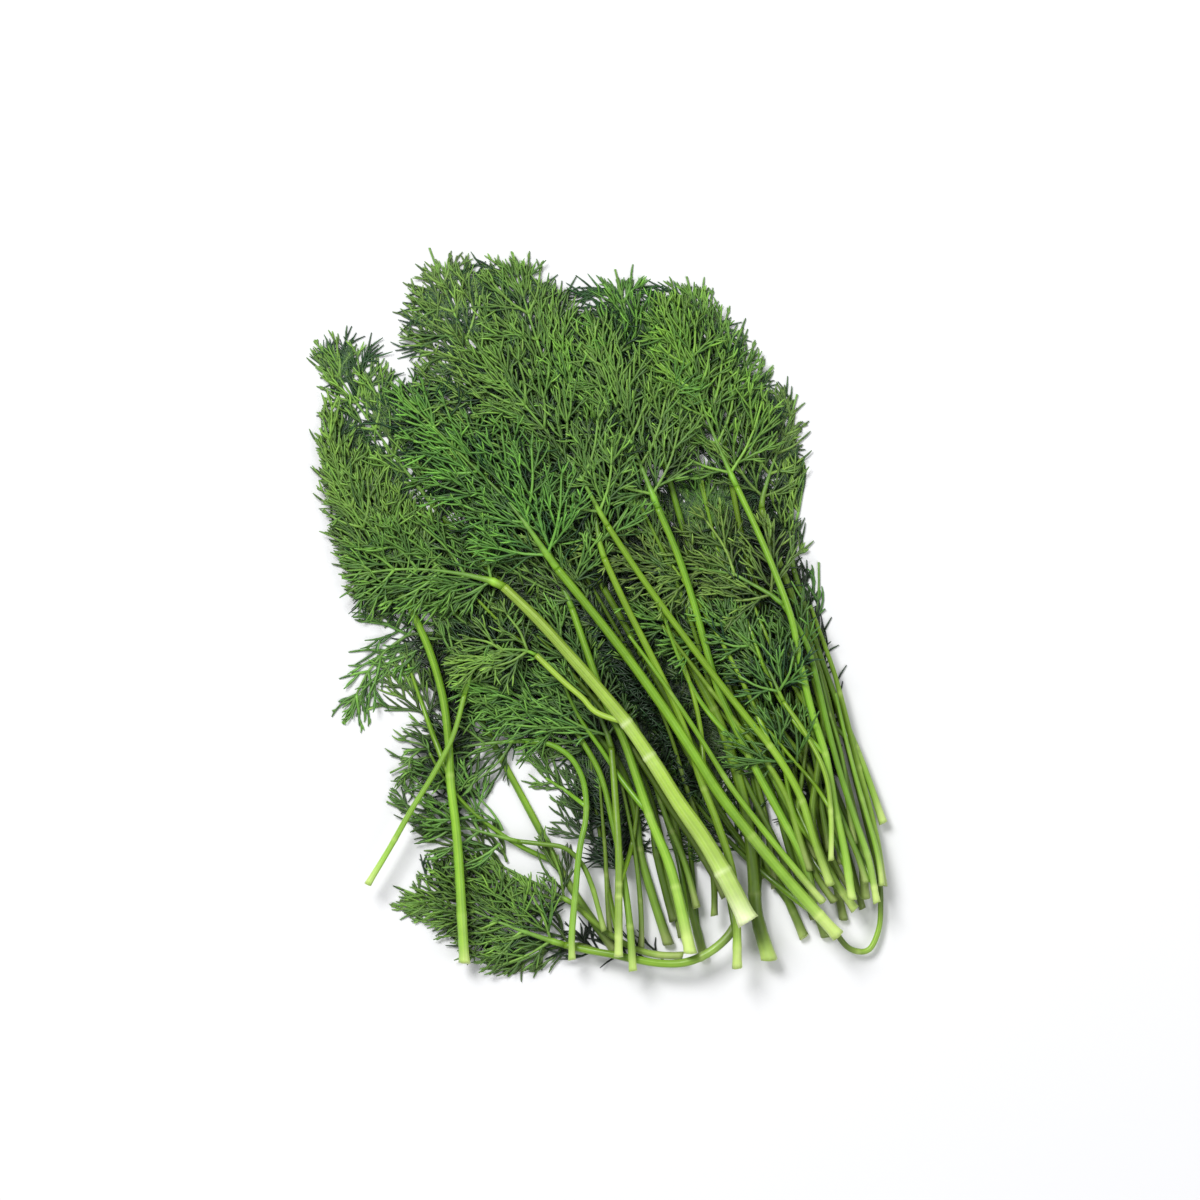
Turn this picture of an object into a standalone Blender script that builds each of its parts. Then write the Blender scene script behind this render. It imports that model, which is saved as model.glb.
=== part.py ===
"""A loose bunch of cut dill, lying flat, in metres with +Z up.

Every sprig is a round leafless stalk and a feathery frond that starts where
the stalk ends. The routes below are the plan of the bunch, in millimetres,
seen from above with the cut ends towards -Y. The sprigs are laid down one
after the other, the lowest first, and each rests on those below it.
"""

import math
import random

import bmesh
import bpy
import numpy as np
from mathutils import Vector

MM = 0.001

# How closely one sprig may come to another, and the step of the height map.
GAP = 0.3
CELL = 0.5
MAP_X = (-92.0, 92.0)
MAP_Y = (-114.0, 114.0)
EMPTY = -1000.0

# The middle of the whole bunch in the plan of the routes, which becomes the origin.
MIDDLE = (-1.1, -1.4)

# A stalk is a tube with six sides, and one of them faces down.
STALK_SIDES = 6
STALK_STEP = 13.0
BEND_STEP = 6.5
FLAT_SIDE = math.cos(math.pi / STALK_SIDES)

# The sprigs whose stalks bend sharply, and so take the shorter step.
BENT = ("right_low", "low_down", "low_up", "low_left", "side_low", "side_arch")

# Sizes of a frond's axis, side leaves and leaflets.
AXIS_WIDTH = 1.25
LEAF_WIDTH = 0.95
BLADE_THICKNESS = 0.7
LEAFLET_LENGTH = 6.2
LEAF_ANGLE = math.radians(46)
LEAFLET_ANGLE = math.radians(43)

# name: (stalk route, frond route, width at the cut, width at the frond,
#        longest side leaf, pairs of side leaves)
SPRIGS = {
    "left_high": (
        [(30, -97), (26, -81), (23, -67), (20, -53), (13, -37), (-1, -19), (-22, 3), (-41, 24)],
        [(-41, 24), (-57, 44), (-69, 61), (-79, 76)], 2.6, 1.8, 22, 6),
    "left_low": (
        [(20, -93), (16, -81), (12, -67), (10, -53), (5, -41), (-10, -23), (-27, -9), (-43, 2)],
        [(-43, 2), (-59, 18), (-71, 36), (-77, 55)], 2.8, 1.8, 20, 6),
    "top_left": (
        [(58, -91), (51, -76), (41, -61), (32, -46), (20, -25), (4, 3), (-10, 27), (-22, 48)],
        [(-22, 48), (-33, 69), (-41, 86), (-47, 102)], 2.6, 1.7, 23, 6),
    "top_centre": (
        [(48, -97), (45, -88), (44, -76), (43, -67), (41, -53), (34, -30), (19, -2), (4, 26), (-6, 48)],
        [(-6, 48), (-14, 68), (-20, 86), (-24, 101)], 4.2, 1.8, 22, 6),
    "top_right": (
        [(69, -86), (66, -72), (61, -53), (55, -30), (48, -8), (41, 19), (36, 45)],
        [(36, 45), (32, 64), (29, 79), (25, 94)], 2.4, 1.6, 20, 6),
    "top_middle": (
        [(64, -91), (57, -72), (52, -53), (43, -30), (33, -8), (25, 20), (18, 45)],
        [(18, 45), (13, 64), (9, 80), (5, 96)], 2.4, 1.7, 22, 6),
    "right_low": (
        [(62, -84), (68, -91), (73, -96), (77, -93), (79, -87), (79, -75), (76, -62), (73, -50),
         (69, -34), (65, -20), (62, -12)],
        [(62, -12), (61, -4), (62, 5), (62, 14)], 1.8, 1.3, 9, 4),
    "right_middle": (
        [(80, -59), (77, -50), (72, -37), (67, -25), (62, -11), (58, 2), (55, 12)],
        [(55, 12), (55, 22), (57, 31), (58, 40)], 2.2, 1.5, 12, 4),
    "fallen_left": (
        [(5, -95), (0, -88), (-8, -76), (-16, -61), (-24, -46), (-31, -33), (-37, -19), (-41, -8)],
        [(-41, -8), (-52, -6), (-63, -15), (-71, -31)], 2.6, 1.7, 16, 5),
    "low_down": (
        [(10, -97), (1, -95), (-5, -93)],
        [(-5, -93), (-13, -94), (-20, -98), (-25, -102)], 2.0, 1.4, 10, 3),
    "low_up": (
        [(24, -96), (13, -95), (2, -89), (-6, -82)],
        [(-6, -82), (-19, -75), (-33, -68), (-46, -62)], 2.2, 1.6, 18, 5),
    "low_left": (
        [(40, -85), (35, -92), (27, -97), (18, -98), (4, -95.5), (-9, -93)],
        [(-9, -93), (-24, -88), (-40, -82), (-57, -82)], 2.8, 2.0, 20, 6),
    "side_low": (
        [(2, -89), (-2, -75), (-7, -67), (-14, -65), (-22, -64)],
        [(-22, -64), (-34, -61), (-47, -58), (-59, -53)], 1.6, 1.3, 15, 5),
    "side_arch": (
        [(-7, -97), (-7, -89), (-6, -78), (-5, -67), (-3, -56), (-4, -47), (-7, -41), (-13, -37),
         (-20, -36)],
        [(-20, -36), (-33, -37), (-47, -40), (-58, -45)], 2.0, 1.5, 15, 5),
    "inner_left": (
        [(10, -100), (9, -86), (7, -72), (4, -57), (0, -43), (-6, -33)],
        [(-6, -33), (-15, -26), (-26, -22), (-37, -19)], 2.2, 1.6, 15, 5),
    "inner_middle": (
        [(6, -96), (6, -82), (6, -67), (5, -51), (4, -38)],
        [(4, -38), (-1, -25), (-7, -12), (-15, 0)], 2.4, 1.8, 17, 5),
    "long_left": (
        [(-37, -98), (-38, -81), (-39, -64), (-41, -47), (-42, -30), (-45, -16), (-48, -8), (-52, 1)],
        [(-52, 1), (-61, 16), (-69, 30), (-76, 43)], 3.0, 2.1, 19, 6),
    "thin_left": (
        [(-64, -76), (-55, -61), (-49, -50), (-43, -41), (-39, -31), (-37, -23)],
        [(-37, -23), (-34, -11), (-36, 3), (-41, 16)], 1.8, 1.4, 16, 5),
    "right_high": (
        [(75, -80), (74, -69), (71, -53), (67, -37), (64, -23), (59, -8), (54, 6), (49, 19), (46, 29)],
        [(46, 29), (49, 41), (53, 51), (56, 61)], 2.5, 1.8, 15, 5),
    "side_right": (
        [(72, -83), (64, -71), (60, -58), (62, -41), (63, -27), (60, -17)],
        [(60, -17), (46, -9), (29, -8), (12, 2)], 2.5, 1.7, 17, 5),
    "side_upper": (
        [(78, -81), (76, -70), (71, -55), (66, -39), (62, -22), (58, -8), (52, 2)],
        [(52, 2), (37, 11), (18, 13), (-2, 20)], 2.0, 1.5, 19, 5),
    "centre_low": (
        [(26, -95), (23, -81), (19, -67), (13, -53), (9, -39), (1, -22), (-7, 1)],
        [(-7, 1), (-15, 17), (-25, 33), (-38, 44)], 3.4, 1.9, 20, 6),
    "centre_up": (
        [(39, -99), (39, -88), (37, -69), (30, -50), (23, -29), (13, -8), (2, 15)],
        [(2, 15), (-1, 31), (-3, 48), (-9, 73)], 2.6, 1.8, 20, 6),
    "right_top": (
        [(71, -80), (69, -67), (66, -53), (63, -37), (58, -22), (55, -5), (48, 15), (39, 35)],
        [(39, 35), (32, 51), (26, 68), (19, 85)], 2.4, 1.7, 20, 6),
    "centre_right": (
        [(61, -81), (56, -65), (49, -53), (42, -39), (34, -22), (29, -5), (24, 12), (17, 29)],
        [(17, 29), (11, 44), (4, 61), (-1, 78)], 2.6, 1.9, 20, 6),
    "centre_top": (
        [(65, -76), (61, -65), (58, -55), (53, -44), (43, -31), (29, -13), (15, 6), (3, 24)],
        [(3, 24), (-6, 40), (-17, 54), (-33, 73)], 2.4, 1.7, 21, 6),
    "fork_right": (
        [(65, -69), (65, -57), (64, -47), (60, -37), (52, -25)],
        [(52, -25), (48, -16), (41, -8), (32, 0)], 1.5, 1.3, 11, 4),
    "thick_stem": (
        [(42, -86), (36, -74), (29, -62), (20, -49), (12, -36), (1, -22), (-14, -5), (-26, 7)],
        [(-26, 7), (-40, 11), (-55, 12), (-71, 10)], 5.8, 2.6, 20, 6),
    "long_stem": (
        [(67, -90), (57, -79), (46, -66), (35, -52), (26, -38), (16, -23), (2, -4), (-11, 12)],
        [(-11, 12), (-24, 30), (-38, 44), (-55, 61)], 3.6, 2.3, 21, 6),
}

# The thick stem forks at its second joint, and its side branch has a frond too.
BRANCH_FROM = (8, -31)
BRANCH_ROUTE = [(5, -31), (0, -28), (-5, -23), (-11, -18), (-17, -12)]
BRANCH_FROND = [(-17, -12), (-24, -10), (-31, -12), (-38, -15)]
BRANCH_WIDTH = 1.7
BRANCH_REACH = 11
BRANCH_PAIRS = 3


def smooth(route, step, before=None, after=None):
    """Evenly spaced points, about a step apart, on a smooth curve through the route's points.

    before and after are the points that the curve would come from and go on to.
    """
    points = np.array(route, float)
    before = 2 * points[0] - points[1] if before is None else np.array(before, float)
    after = 2 * points[-1] - points[-2] if after is None else np.array(after, float)
    ends = np.vstack([before, points, after])
    fine = []
    for index in range(len(points) - 1):
        back, start, end, on = ends[index : index + 4]
        for t in np.linspace(0, 1, 16, endpoint=False):
            fine.append(
                0.5 * (2 * start + (end - back) * t
                       + (2 * back - 5 * start + 4 * end - on) * t**2
                       + (3 * start - back - 3 * end + on) * t**3))
    fine = np.array(fine + [points[-1]])
    along = np.concatenate([[0], np.cumsum(np.linalg.norm(np.diff(fine, axis=0), axis=1))])
    count = max(2, round(along[-1] / step)) + 1
    wanted = np.linspace(0, along[-1], count)
    return np.column_stack([np.interp(wanted, along, fine[:, axis]) for axis in (0, 1)])


def turned(direction, angle):
    """A direction in plan turned to the left by the angle."""
    cos, sin = math.cos(angle), math.sin(angle)
    return np.array([direction[0] * cos - direction[1] * sin, direction[0] * sin + direction[1] * cos])


def unit(vector):
    return vector / np.linalg.norm(vector)


def joint_side(before, route):
    """The direction to the left where a frond's route starts, the same for it and for its stalk."""
    return turned(unit(np.array(route[1], float) - np.array(before, float)), math.pi / 2)


class Shoot:
    """A run of stations in plan. Its leaves grow from the sides of the runs between two stations."""

    def __init__(self, points, widths):
        self.points = np.array(points, float)
        self.widths = list(widths)
        self.leaves = {}
        self.first = 0
        self.sides = {}

    def side(self, index):
        """The direction to the left of station number index."""
        if index in self.sides:
            return self.sides[index]
        before = self.points[max(index - 1, 0)]
        after = self.points[min(index + 1, len(self.points) - 1)]
        return turned(unit(after - before), math.pi / 2)


def distance_to_runs(point, runs):
    """The least distance in plan from a point to the side of any run: two ends and a half width."""
    starts = np.array([run[0] for run in runs])
    ends = np.array([run[1] for run in runs])
    halves = np.array([run[2] for run in runs])
    spans = ends - starts
    share = ((point - starts) * spans).sum(axis=1) / np.maximum((spans * spans).sum(axis=1), 1e-9)
    nearest = starts + np.clip(share, 0, 1)[:, None] * spans
    return (np.linalg.norm(point - nearest, axis=1) - halves).min()


def is_free(start, end, skip, runs):
    """Whether the run from start to end, but for its first part, keeps a gap from the others."""
    length = np.linalg.norm(end - start)
    if length <= skip:
        return False
    return all(
        distance_to_runs(start + (end - start) * at / length, runs) > 0.42 + GAP
        for at in np.linspace(skip, length, 9))


def add_leaflets(leaf, runs, chance):
    """Pointed leaflets in pairs on the short runs of a side leaf."""
    for run in range(1, len(leaf.points) - 2, 2):
        middle = (leaf.points[run] + leaf.points[run + 1]) / 2
        ahead = unit(leaf.points[run + 1] - leaf.points[run])
        for hand in (1, -1):
            aim = turned(ahead, hand * LEAFLET_ANGLE * chance.uniform(0.85, 1.15))
            start = middle + turned(ahead, hand * math.pi / 2) * LEAF_WIDTH / 2
            length = LEAFLET_LENGTH * chance.uniform(0.8, 1.15)
            for share in (1, 0.8, 0.6):
                end = start + aim * length * share
                if is_free(start, end, 1.6, runs):
                    leaf.leaves[(run, hand)] = Shoot([end], [0.3])
                    runs.append((start, end, 0.3))
                    break


def frond_of(name, route, before, reach, pairs, runs, start_width):
    """A frond in plan: an axis, side leaves in pairs along it, and leaflets on those."""
    chance = random.Random(name)
    axis = smooth(route, 0.5, before)
    ahead = np.linalg.norm(np.diff(axis, axis=0), axis=1)
    along = np.concatenate([[0], np.cumsum(ahead)])
    total = along[-1]

    def at(distance):
        return np.array([np.interp(distance, along, axis[:, column]) for column in (0, 1)])

    places = [total * (0.05 + 0.83 * (number / (pairs - 0.3)) ** 0.92) for number in range(pairs)]
    stations = [GAP]
    for place in places:
        stations += [place + GAP + 0.8, place + GAP + 1.8]
    stations.append(total)
    taper = np.linspace(min(start_width, AXIS_WIDTH), 0.8, len(stations))
    body = Shoot([at(distance) for distance in stations], taper)
    body.sides[0] = joint_side(before, route)
    axis_runs = [
        (body.points[index], body.points[index + 1], taper[index] / 2) for index in range(len(stations) - 1)]
    drawn = []
    for number, place in enumerate(places):
        run = 1 + 2 * number
        middle = (body.points[run] + body.points[run + 1]) / 2
        direction = unit(body.points[run + 1] - body.points[run])
        for hand in (1, -1):
            share = number / max(pairs - 1, 1)
            length = reach * (1 - 0.62 * share**1.2) * chance.uniform(0.86, 1.1)
            angle = LEAF_ANGLE * (1.08 - 0.3 * share) * chance.uniform(0.9, 1.1)
            start = middle + turned(direction, hand * math.pi / 2) * taper[run] / 2
            aim = turned(direction, hand * angle)
            bend = turned(aim, -hand * math.radians(14))
            for cut in (1, 0.82, 0.66, 0.5):
                size = length * cut
                middle_point = start + aim * size * 0.5
                end = middle_point + bend * size * 0.5
                if is_free(start, middle_point, 2.0, runs + axis_runs[:1]) and is_free(
                        middle_point, end, 0.01, runs + axis_runs):
                    drawn.append((run, hand, start, middle_point, end, size))
                    runs.append((start, middle_point, LEAF_WIDTH / 2))
                    runs.append((middle_point, end, LEAF_WIDTH / 2))
                    break
    runs.extend(axis_runs)
    for run, hand, start, middle_point, end, size in drawn:
        own = {id(item) for item in runs if item[0] is start or item[1] is end}
        others = [item for item in runs if id(item) not in own]
        places = [0.3, 0.62] if size > 12.5 else [0.45] if size > 6 else []
        leaf = Shoot([start] + [
            leaf_point(start, middle_point, end, (share * size + extra) / size)
            for share in places for extra in (0, 0.95)] + [end], [LEAF_WIDTH] * (2 * len(places) + 2))
        # The start is on the axis's side, so the stations of the leaf itself begin with the next.
        before = len(others)
        add_leaflets(leaf, others, chance)
        runs.extend(others[before:])
        grown = Shoot(leaf.points[1:], leaf.widths[1:])
        grown.leaves = {(number - 1, side): child for (number, side), child in leaf.leaves.items()}
        body.leaves[(run, hand)] = grown
    return body


def leaf_point(start, middle, end, share):
    """The point at this share of the length of a side leaf with one bend at its middle."""
    if share < 0.5:
        return start + (middle - start) * share * 2
    return middle + (end - middle) * (share * 2 - 1)


class Pile:
    """The height of what has been laid down so far, over a grid in plan."""

    def __init__(self):
        self.columns = int((MAP_X[1] - MAP_X[0]) / CELL)
        self.rows = int((MAP_Y[1] - MAP_Y[0]) / CELL)
        self.top = np.full((self.rows, self.columns), EMPTY)

    def lay(self, start, end, low, high, half_start, half_end, rounded):
        """Raises the map under a run from start to end, whose middle goes from low to high."""
        wide = max(half_start, half_end) + CELL * 0.7
        box = np.array([np.minimum(start, end) - wide, np.maximum(start, end) + wide])
        column = np.clip(((box[:, 0] - MAP_X[0]) / CELL).astype(int), 0, self.columns - 1)
        row = np.clip(((box[:, 1] - MAP_Y[0]) / CELL).astype(int), 0, self.rows - 1)
        x = MAP_X[0] + (np.arange(column[0], column[1] + 1) + 0.5) * CELL
        y = MAP_Y[0] + (np.arange(row[0], row[1] + 1) + 0.5) * CELL
        x, y = np.meshgrid(x, y)
        span = end - start
        share = ((x - start[0]) * span[0] + (y - start[1]) * span[1]) / max(span @ span, 1e-9)
        share = np.clip(share, 0, 1)
        away = np.hypot(x - start[0] - share * span[0], y - start[1] - share * span[1])
        half = half_start + (half_end - half_start) * share + CELL * 0.6
        inside = away < half
        if rounded:
            rise = np.sqrt(np.maximum(half**2 - away**2, 0))
        else:
            rise = np.full_like(half, BLADE_THICKNESS / 2 + 0.1)
        height = np.where(inside, low + (high - low) * share + rise, EMPTY)
        part = self.top[row[0] : row[1] + 1, column[0] : column[1] + 1]
        np.maximum(part, height, out=part)

    def floor(self, radius):
        """The lowest a ball of this radius can lie over the pile, its middle's height at each cell."""
        reach = int(radius / CELL) + 1
        floor = np.full_like(self.top, EMPTY)
        for across in range(-reach, reach + 1):
            for up in range(-reach, reach + 1):
                away = math.hypot(across, up) * CELL
                if away < radius:
                    moved = np.roll(self.top, (up, across), (0, 1))
                    np.maximum(floor, moved + math.sqrt(radius**2 - away**2), out=floor)
        return floor


def sample(floor, points):
    """The highest of the four cells round each point."""
    column = (points[:, 0] - MAP_X[0]) / CELL - 0.5
    row = (points[:, 1] - MAP_Y[0]) / CELL - 0.5
    column = np.clip(column.astype(int), 0, floor.shape[1] - 2)
    row = np.clip(row.astype(int), 0, floor.shape[0] - 2)
    return np.maximum.reduce([
        floor[row, column], floor[row, column + 1], floor[row + 1, column], floor[row + 1, column + 1]])


def number_stations(shoot, count, runs, parent):
    """Numbers the stations of a shoot and its leaves, and lists the runs between them."""
    shoot.first = count
    size = len(shoot.points)
    if parent is not None:
        runs.append((parent, count))
    runs.extend((count + index, count + index + 1) for index in range(size - 1))
    count += size
    for (run, _), leaf in shoot.leaves.items():
        count = number_stations(leaf, count, runs, shoot.first + run + 1)
    return count


def every_shoot(shoot):
    yield shoot
    for leaf in shoot.leaves.values():
        yield from every_shoot(leaf)


def settle(plan, floors, grounds, runs, passes):
    """Heights for the stations: as low as the pile lets every straight run between two stations be.

    The grounds are the stations' heights where they lie on the surface under the bunch.
    """
    ends = np.array(runs)
    share = np.linspace(0, 1, 13)[None, :]
    weights = share[..., None]
    spots = plan[ends[:, 0]][:, None, :] * (1 - weights) + plan[ends[:, 1]][:, None, :] * weights
    needed = np.empty(spots.shape[:2])
    for index, (start, end) in enumerate(ends):
        needed[index] = sample(floors[start], spots[index])
        if floors[end] is not floors[start]:
            needed[index] = np.maximum(needed[index], sample(floors[end], spots[index]))
    grounds = np.array(grounds)
    lowest = grounds.copy()
    np.maximum.at(lowest, ends[:, 0], needed[:, 0])
    np.maximum.at(lowest, ends[:, 1], needed[:, -1])
    height = lowest.copy()
    length = np.maximum(np.linalg.norm(plan[ends[:, 0]] - plan[ends[:, 1]], axis=1), 0.5)
    weight = 1 / length
    for turn in range(passes + 300):
        if turn < passes:
            total = np.zeros(len(plan))
            pull = np.zeros(len(plan))
            for near, far in ((0, 1), (1, 0)):
                np.add.at(total, ends[:, near], weight * (height - grounds)[ends[:, far]])
                np.add.at(pull, ends[:, near], weight)
            height = np.maximum(lowest, grounds + total / np.maximum(pull, 1e-9))
        run_height = height[ends[:, 0]][:, None] * (1 - share) + height[ends[:, 1]][:, None] * share
        short = needed - run_height
        worst = short.argmax(axis=1)
        lack = short[np.arange(len(ends)), worst]
        if turn >= passes and lack.max() < 0.01:
            break
        lack = np.maximum(lack, 0)
        part = share[0, worst]
        scale = lack / ((1 - part) ** 2 + part**2)
        raise_to = height.copy()
        np.maximum.at(raise_to, ends[:, 0], height[ends[:, 0]] + scale * (1 - part))
        np.maximum.at(raise_to, ends[:, 1], height[ends[:, 1]] + scale * part)
        height = raise_to
    return height


def place_of(point, height):
    """A point of the plan and its height as a place in the bunch's own frame, in metres."""
    return Vector(((point[0] - MIDDLE[0]) * MM, (point[1] - MIDDLE[1]) * MM, height * MM))


def flat_ring(point, side, height, width, thick):
    """Four places round a blade, in the order left low, right low, right high, left high."""
    across = side * width / 2
    return [
        place_of(point + across, height - thick / 2), place_of(point - across, height - thick / 2),
        place_of(point - across, height + thick / 2), place_of(point + across, height + thick / 2)]


def round_ring(point, side, height, radius):
    """The places round a stalk, with a flat side below."""
    ring = []
    for number in range(STALK_SIDES):
        angle = -math.pi / 2 - math.pi / STALK_SIDES + 2 * math.pi * number / STALK_SIDES
        ring.append(place_of(point - side * radius * math.cos(angle), height + radius * math.sin(angle)))
    return ring


class Body:
    """A closed body that starts as a prism between two rings and is drawn out further, face by face.

    A ring's corners run clockwise for somebody whom the prism is drawn towards.
    """

    def __init__(self, first, second):
        self.mesh = bmesh.new()
        corners = bmesh.ops.create_cone(
            self.mesh, cap_ends=True, segments=len(first), radius1=1, radius2=1, depth=1)["verts"]
        self.start = corners[0::2]
        self.end = corners[1::2]
        self.origin = sum(first, Vector()) / len(first)
        for corner, place in zip(self.start + self.end, first + second):
            corner.co = place

    def extrude(self, ring, places):
        """Draws the face within a ring out to the places, and gives the ring there."""
        face = self.mesh.faces.get(ring)
        order = [ring.index(corner) for corner in face.verts]
        drawn = bmesh.ops.extrude_discrete_faces(self.mesh, faces=[face])["faces"][0]
        moved = dict(zip(order, drawn.verts))
        following = [moved[number] for number in range(len(ring))]
        for corner, place in zip(following, places):
            corner.co = place
        return following

    def close_to_point(self, ring, place):
        """Draws the face within a ring out to a sharp tip."""
        bmesh.ops.pointmerge(self.mesh, verts=self.extrude(ring, [place] * len(ring)), merge_co=place)

    def grow(self, shoot, heights, ring, done=0):
        """Draws a shoot out of a ring, from station number done on, with its leaves and its tip."""
        last = len(shoot.points) - 1
        for station in range(done, last):
            following = self.extrude(ring, flat_ring(
                shoot.points[station], shoot.side(station), heights[shoot.first + station],
                shoot.widths[station], BLADE_THICKNESS))
            left = shoot.leaves.get((station - 1, 1))
            right = shoot.leaves.get((station - 1, -1))
            if left:
                self.grow(left, heights, [ring[0], following[0], following[3], ring[3]])
            if right:
                self.grow(right, heights, [following[1], ring[1], ring[2], following[2]])
            ring = following
        self.close_to_point(ring, place_of(shoot.points[last], heights[shoot.first + last]))

    def finish(self, name, material, parent, smooth_shaded):
        """Makes the body's object, placed by the middle of its first ring."""
        bmesh.ops.translate(self.mesh, vec=-self.origin, verts=self.mesh.verts)
        mesh = bpy.data.meshes.new(name)
        self.mesh.to_mesh(mesh)
        self.mesh.free()
        mesh.materials.append(material)
        if smooth_shaded:
            mesh.shade_smooth()
            mesh.set_sharp_from_angle(angle=math.radians(65))
        piece = bpy.data.objects.new(name, mesh)
        bpy.context.scene.collection.objects.link(piece)
        piece.parent = parent
        piece.location = self.origin - parent.location
        return piece


def stalk_body(points, heights, radii, last_side):
    """A stalk with flat ends, and the rings along it."""
    shoot = Shoot(points, radii)
    shoot.sides[len(points) - 1] = last_side
    places = [
        round_ring(point, shoot.side(index), heights[index], radii[index])
        for index, point in enumerate(shoot.points)]
    body = Body(places[0], places[1])
    rings = [body.start, body.end]
    for ring in places[2:]:
        rings.append(body.extrude(rings[-1], ring))
    return body, rings


def add_side_branch(body, ring, points, heights, last_side):
    """Draws a thin branch with a flat end out of one side of a stalk."""
    shoot = Shoot(points, [BRANCH_WIDTH] * len(points))
    shoot.sides[len(points) - 1] = last_side
    for station in range(1, len(points)):
        ring = body.extrude(ring, flat_ring(
            points[station], shoot.side(station), heights[station], BRANCH_WIDTH, BRANCH_WIDTH))


def frond_body(shoot, heights):
    """A frond's body: the prism of its axis's first run, with the rest drawn out of it."""
    places = [
        flat_ring(
            shoot.points[station], shoot.side(station), heights[shoot.first + station],
            shoot.widths[station], BLADE_THICKNESS)
        for station in (0, 1)]
    body = Body(*places)
    body.grow(shoot, heights, body.end, 2)
    return body


class Sprig:
    """The plan of one sprig: the stations of its stalk, of its side branch if any, and of its fronds."""

    def __init__(self, name):
        stalk_route, frond_route, cut_width, neck_width, reach, pairs = SPRIGS[name]
        step = BEND_STEP if name in BENT else STALK_STEP
        self.name = name
        self.stalk = smooth(stalk_route, step, None, frond_route[1])
        along = np.linspace(0, 1, len(self.stalk))
        self.radii = (cut_width + (neck_width - cut_width) * along**0.7) / 2
        self.last_side = joint_side(stalk_route[-2], frond_route)
        self.plan = list(self.stalk)
        self.reaches = list(self.radii)
        self.runs = [(index, index + 1) for index in range(len(self.stalk) - 1)]
        self.fronds = {}
        taken = [(self.stalk[near], self.stalk[far], self.radii[near]) for near, far in self.runs]
        self.branch = None
        if name == "thick_stem":
            self.plan_branch(taken)
        self.round_count = len(self.plan)
        bases = {frond: self.round_count - 1 for frond in self.fronds}
        self.fronds["frond_" + name] = frond_of(
            "frond_" + name, frond_route, stalk_route[-2], reach, pairs, taken, neck_width)
        bases["frond_" + name] = len(self.stalk) - 1
        count = len(self.plan)
        for frond, shoot in self.fronds.items():
            count = number_stations(shoot, count, self.runs, bases[frond])
            for part in every_shoot(shoot):
                self.plan += list(part.points)
                self.reaches += [AXIS_WIDTH / 2 - 0.05] * len(part.points)
        self.plan = np.array(self.plan)

    def plan_branch(self, taken):
        """The side branch of the thick stem, which leaves it at the station nearest its second joint."""
        self.branch = smooth(BRANCH_ROUTE, 5.5, None, BRANCH_FROND[1])
        self.fork = int(np.linalg.norm(self.stalk - np.array(BRANCH_FROM, float), axis=1).argmin())
        first = len(self.plan)
        self.runs.append((self.fork, first))
        self.runs += [(first + index, first + index + 1) for index in range(len(self.branch) - 1)]
        self.plan += list(self.branch)
        self.reaches += [BRANCH_WIDTH / 2 * 1.2] * len(self.branch)
        self.fronds["frond_side_branch"] = frond_of(
            "frond_side_branch", BRANCH_FROND, BRANCH_ROUTE[-2], BRANCH_REACH, BRANCH_PAIRS, taken, 1.1)

    def settle_on(self, pile):
        """The heights of all stations on what has been laid down so far."""
        found = {}
        floors = []
        grounds = []
        for index, radius in enumerate(self.reaches):
            is_round = index < self.round_count
            ball = math.ceil(radius / 0.2) * 0.2 if is_round else radius
            if ball not in found:
                found[ball] = pile.floor(ball + GAP)
            floors.append(found[ball])
            grounds.append(radius * FLAT_SIDE if is_round else BLADE_THICKNESS / 2)
        self.heights = settle(self.plan, floors, grounds, self.runs, 40)

    def add_to(self, pile):
        """Raises the pile by this sprig."""
        for start, end in self.runs:
            is_round = start < self.round_count and end < self.round_count
            halves = (self.reaches[start], self.reaches[end]) if is_round else (0.5, 0.4)
            pile.lay(
                self.plan[start], self.plan[end], self.heights[start], self.heights[end], *halves, is_round)

    def make(self, bunch, stalk_colour, frond_colour):
        """Makes the stalk's object, and each frond's as its child."""
        stalk_heights = self.heights[: len(self.stalk)]
        body, rings = stalk_body(self.stalk, stalk_heights, self.radii, self.last_side)
        if self.branch is not None:
            near, far = rings[self.fork : self.fork + 2]
            add_side_branch(
                body, [near[5], near[0], far[0], far[5]], self.branch,
                self.heights[len(self.stalk) : self.round_count], joint_side(BRANCH_ROUTE[-2], BRANCH_FROND))
        stalk = body.finish("stalk_" + self.name, stalk_colour, bunch, True)
        for name, shoot in self.fronds.items():
            frond_body(shoot, self.heights).finish(name, frond_colour, stalk, False)


def colour(name, rgb, roughness):
    material = bpy.data.materials.new(name)
    material.use_nodes = True
    surface = material.node_tree.nodes["Principled BSDF"]
    surface.inputs["Base Color"].default_value = (*rgb, 1)
    surface.inputs["Roughness"].default_value = roughness
    surface.inputs["Metallic"].default_value = 0
    material.diffuse_color = (*rgb, 1)
    return material


def main():
    for item in list(bpy.data.objects):
        bpy.data.objects.remove(item, do_unlink=True)
    stalk_colour = colour("stalk", (0.36, 0.58, 0.13), 0.4)
    frond_colour = colour("frond", (0.10, 0.24, 0.04), 0.55)
    bunch = bpy.data.objects.new("dill_bunch", None)
    bpy.context.scene.collection.objects.link(bunch)
    pile = Pile()
    for name in SPRIGS:
        sprig = Sprig(name)
        sprig.settle_on(pile)
        sprig.add_to(pile)
        sprig.make(bunch, stalk_colour, frond_colour)


main()
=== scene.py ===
"""The looks of a loose bunch of cut dill, laid out as an add-on and run as a script.

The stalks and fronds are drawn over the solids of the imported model: every
sprig follows its stalk's and its frond's own place, and gets ribbed skin,
pale joints and cut ends, and the fine forked threads of real dill.
"""

import math
import random

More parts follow.
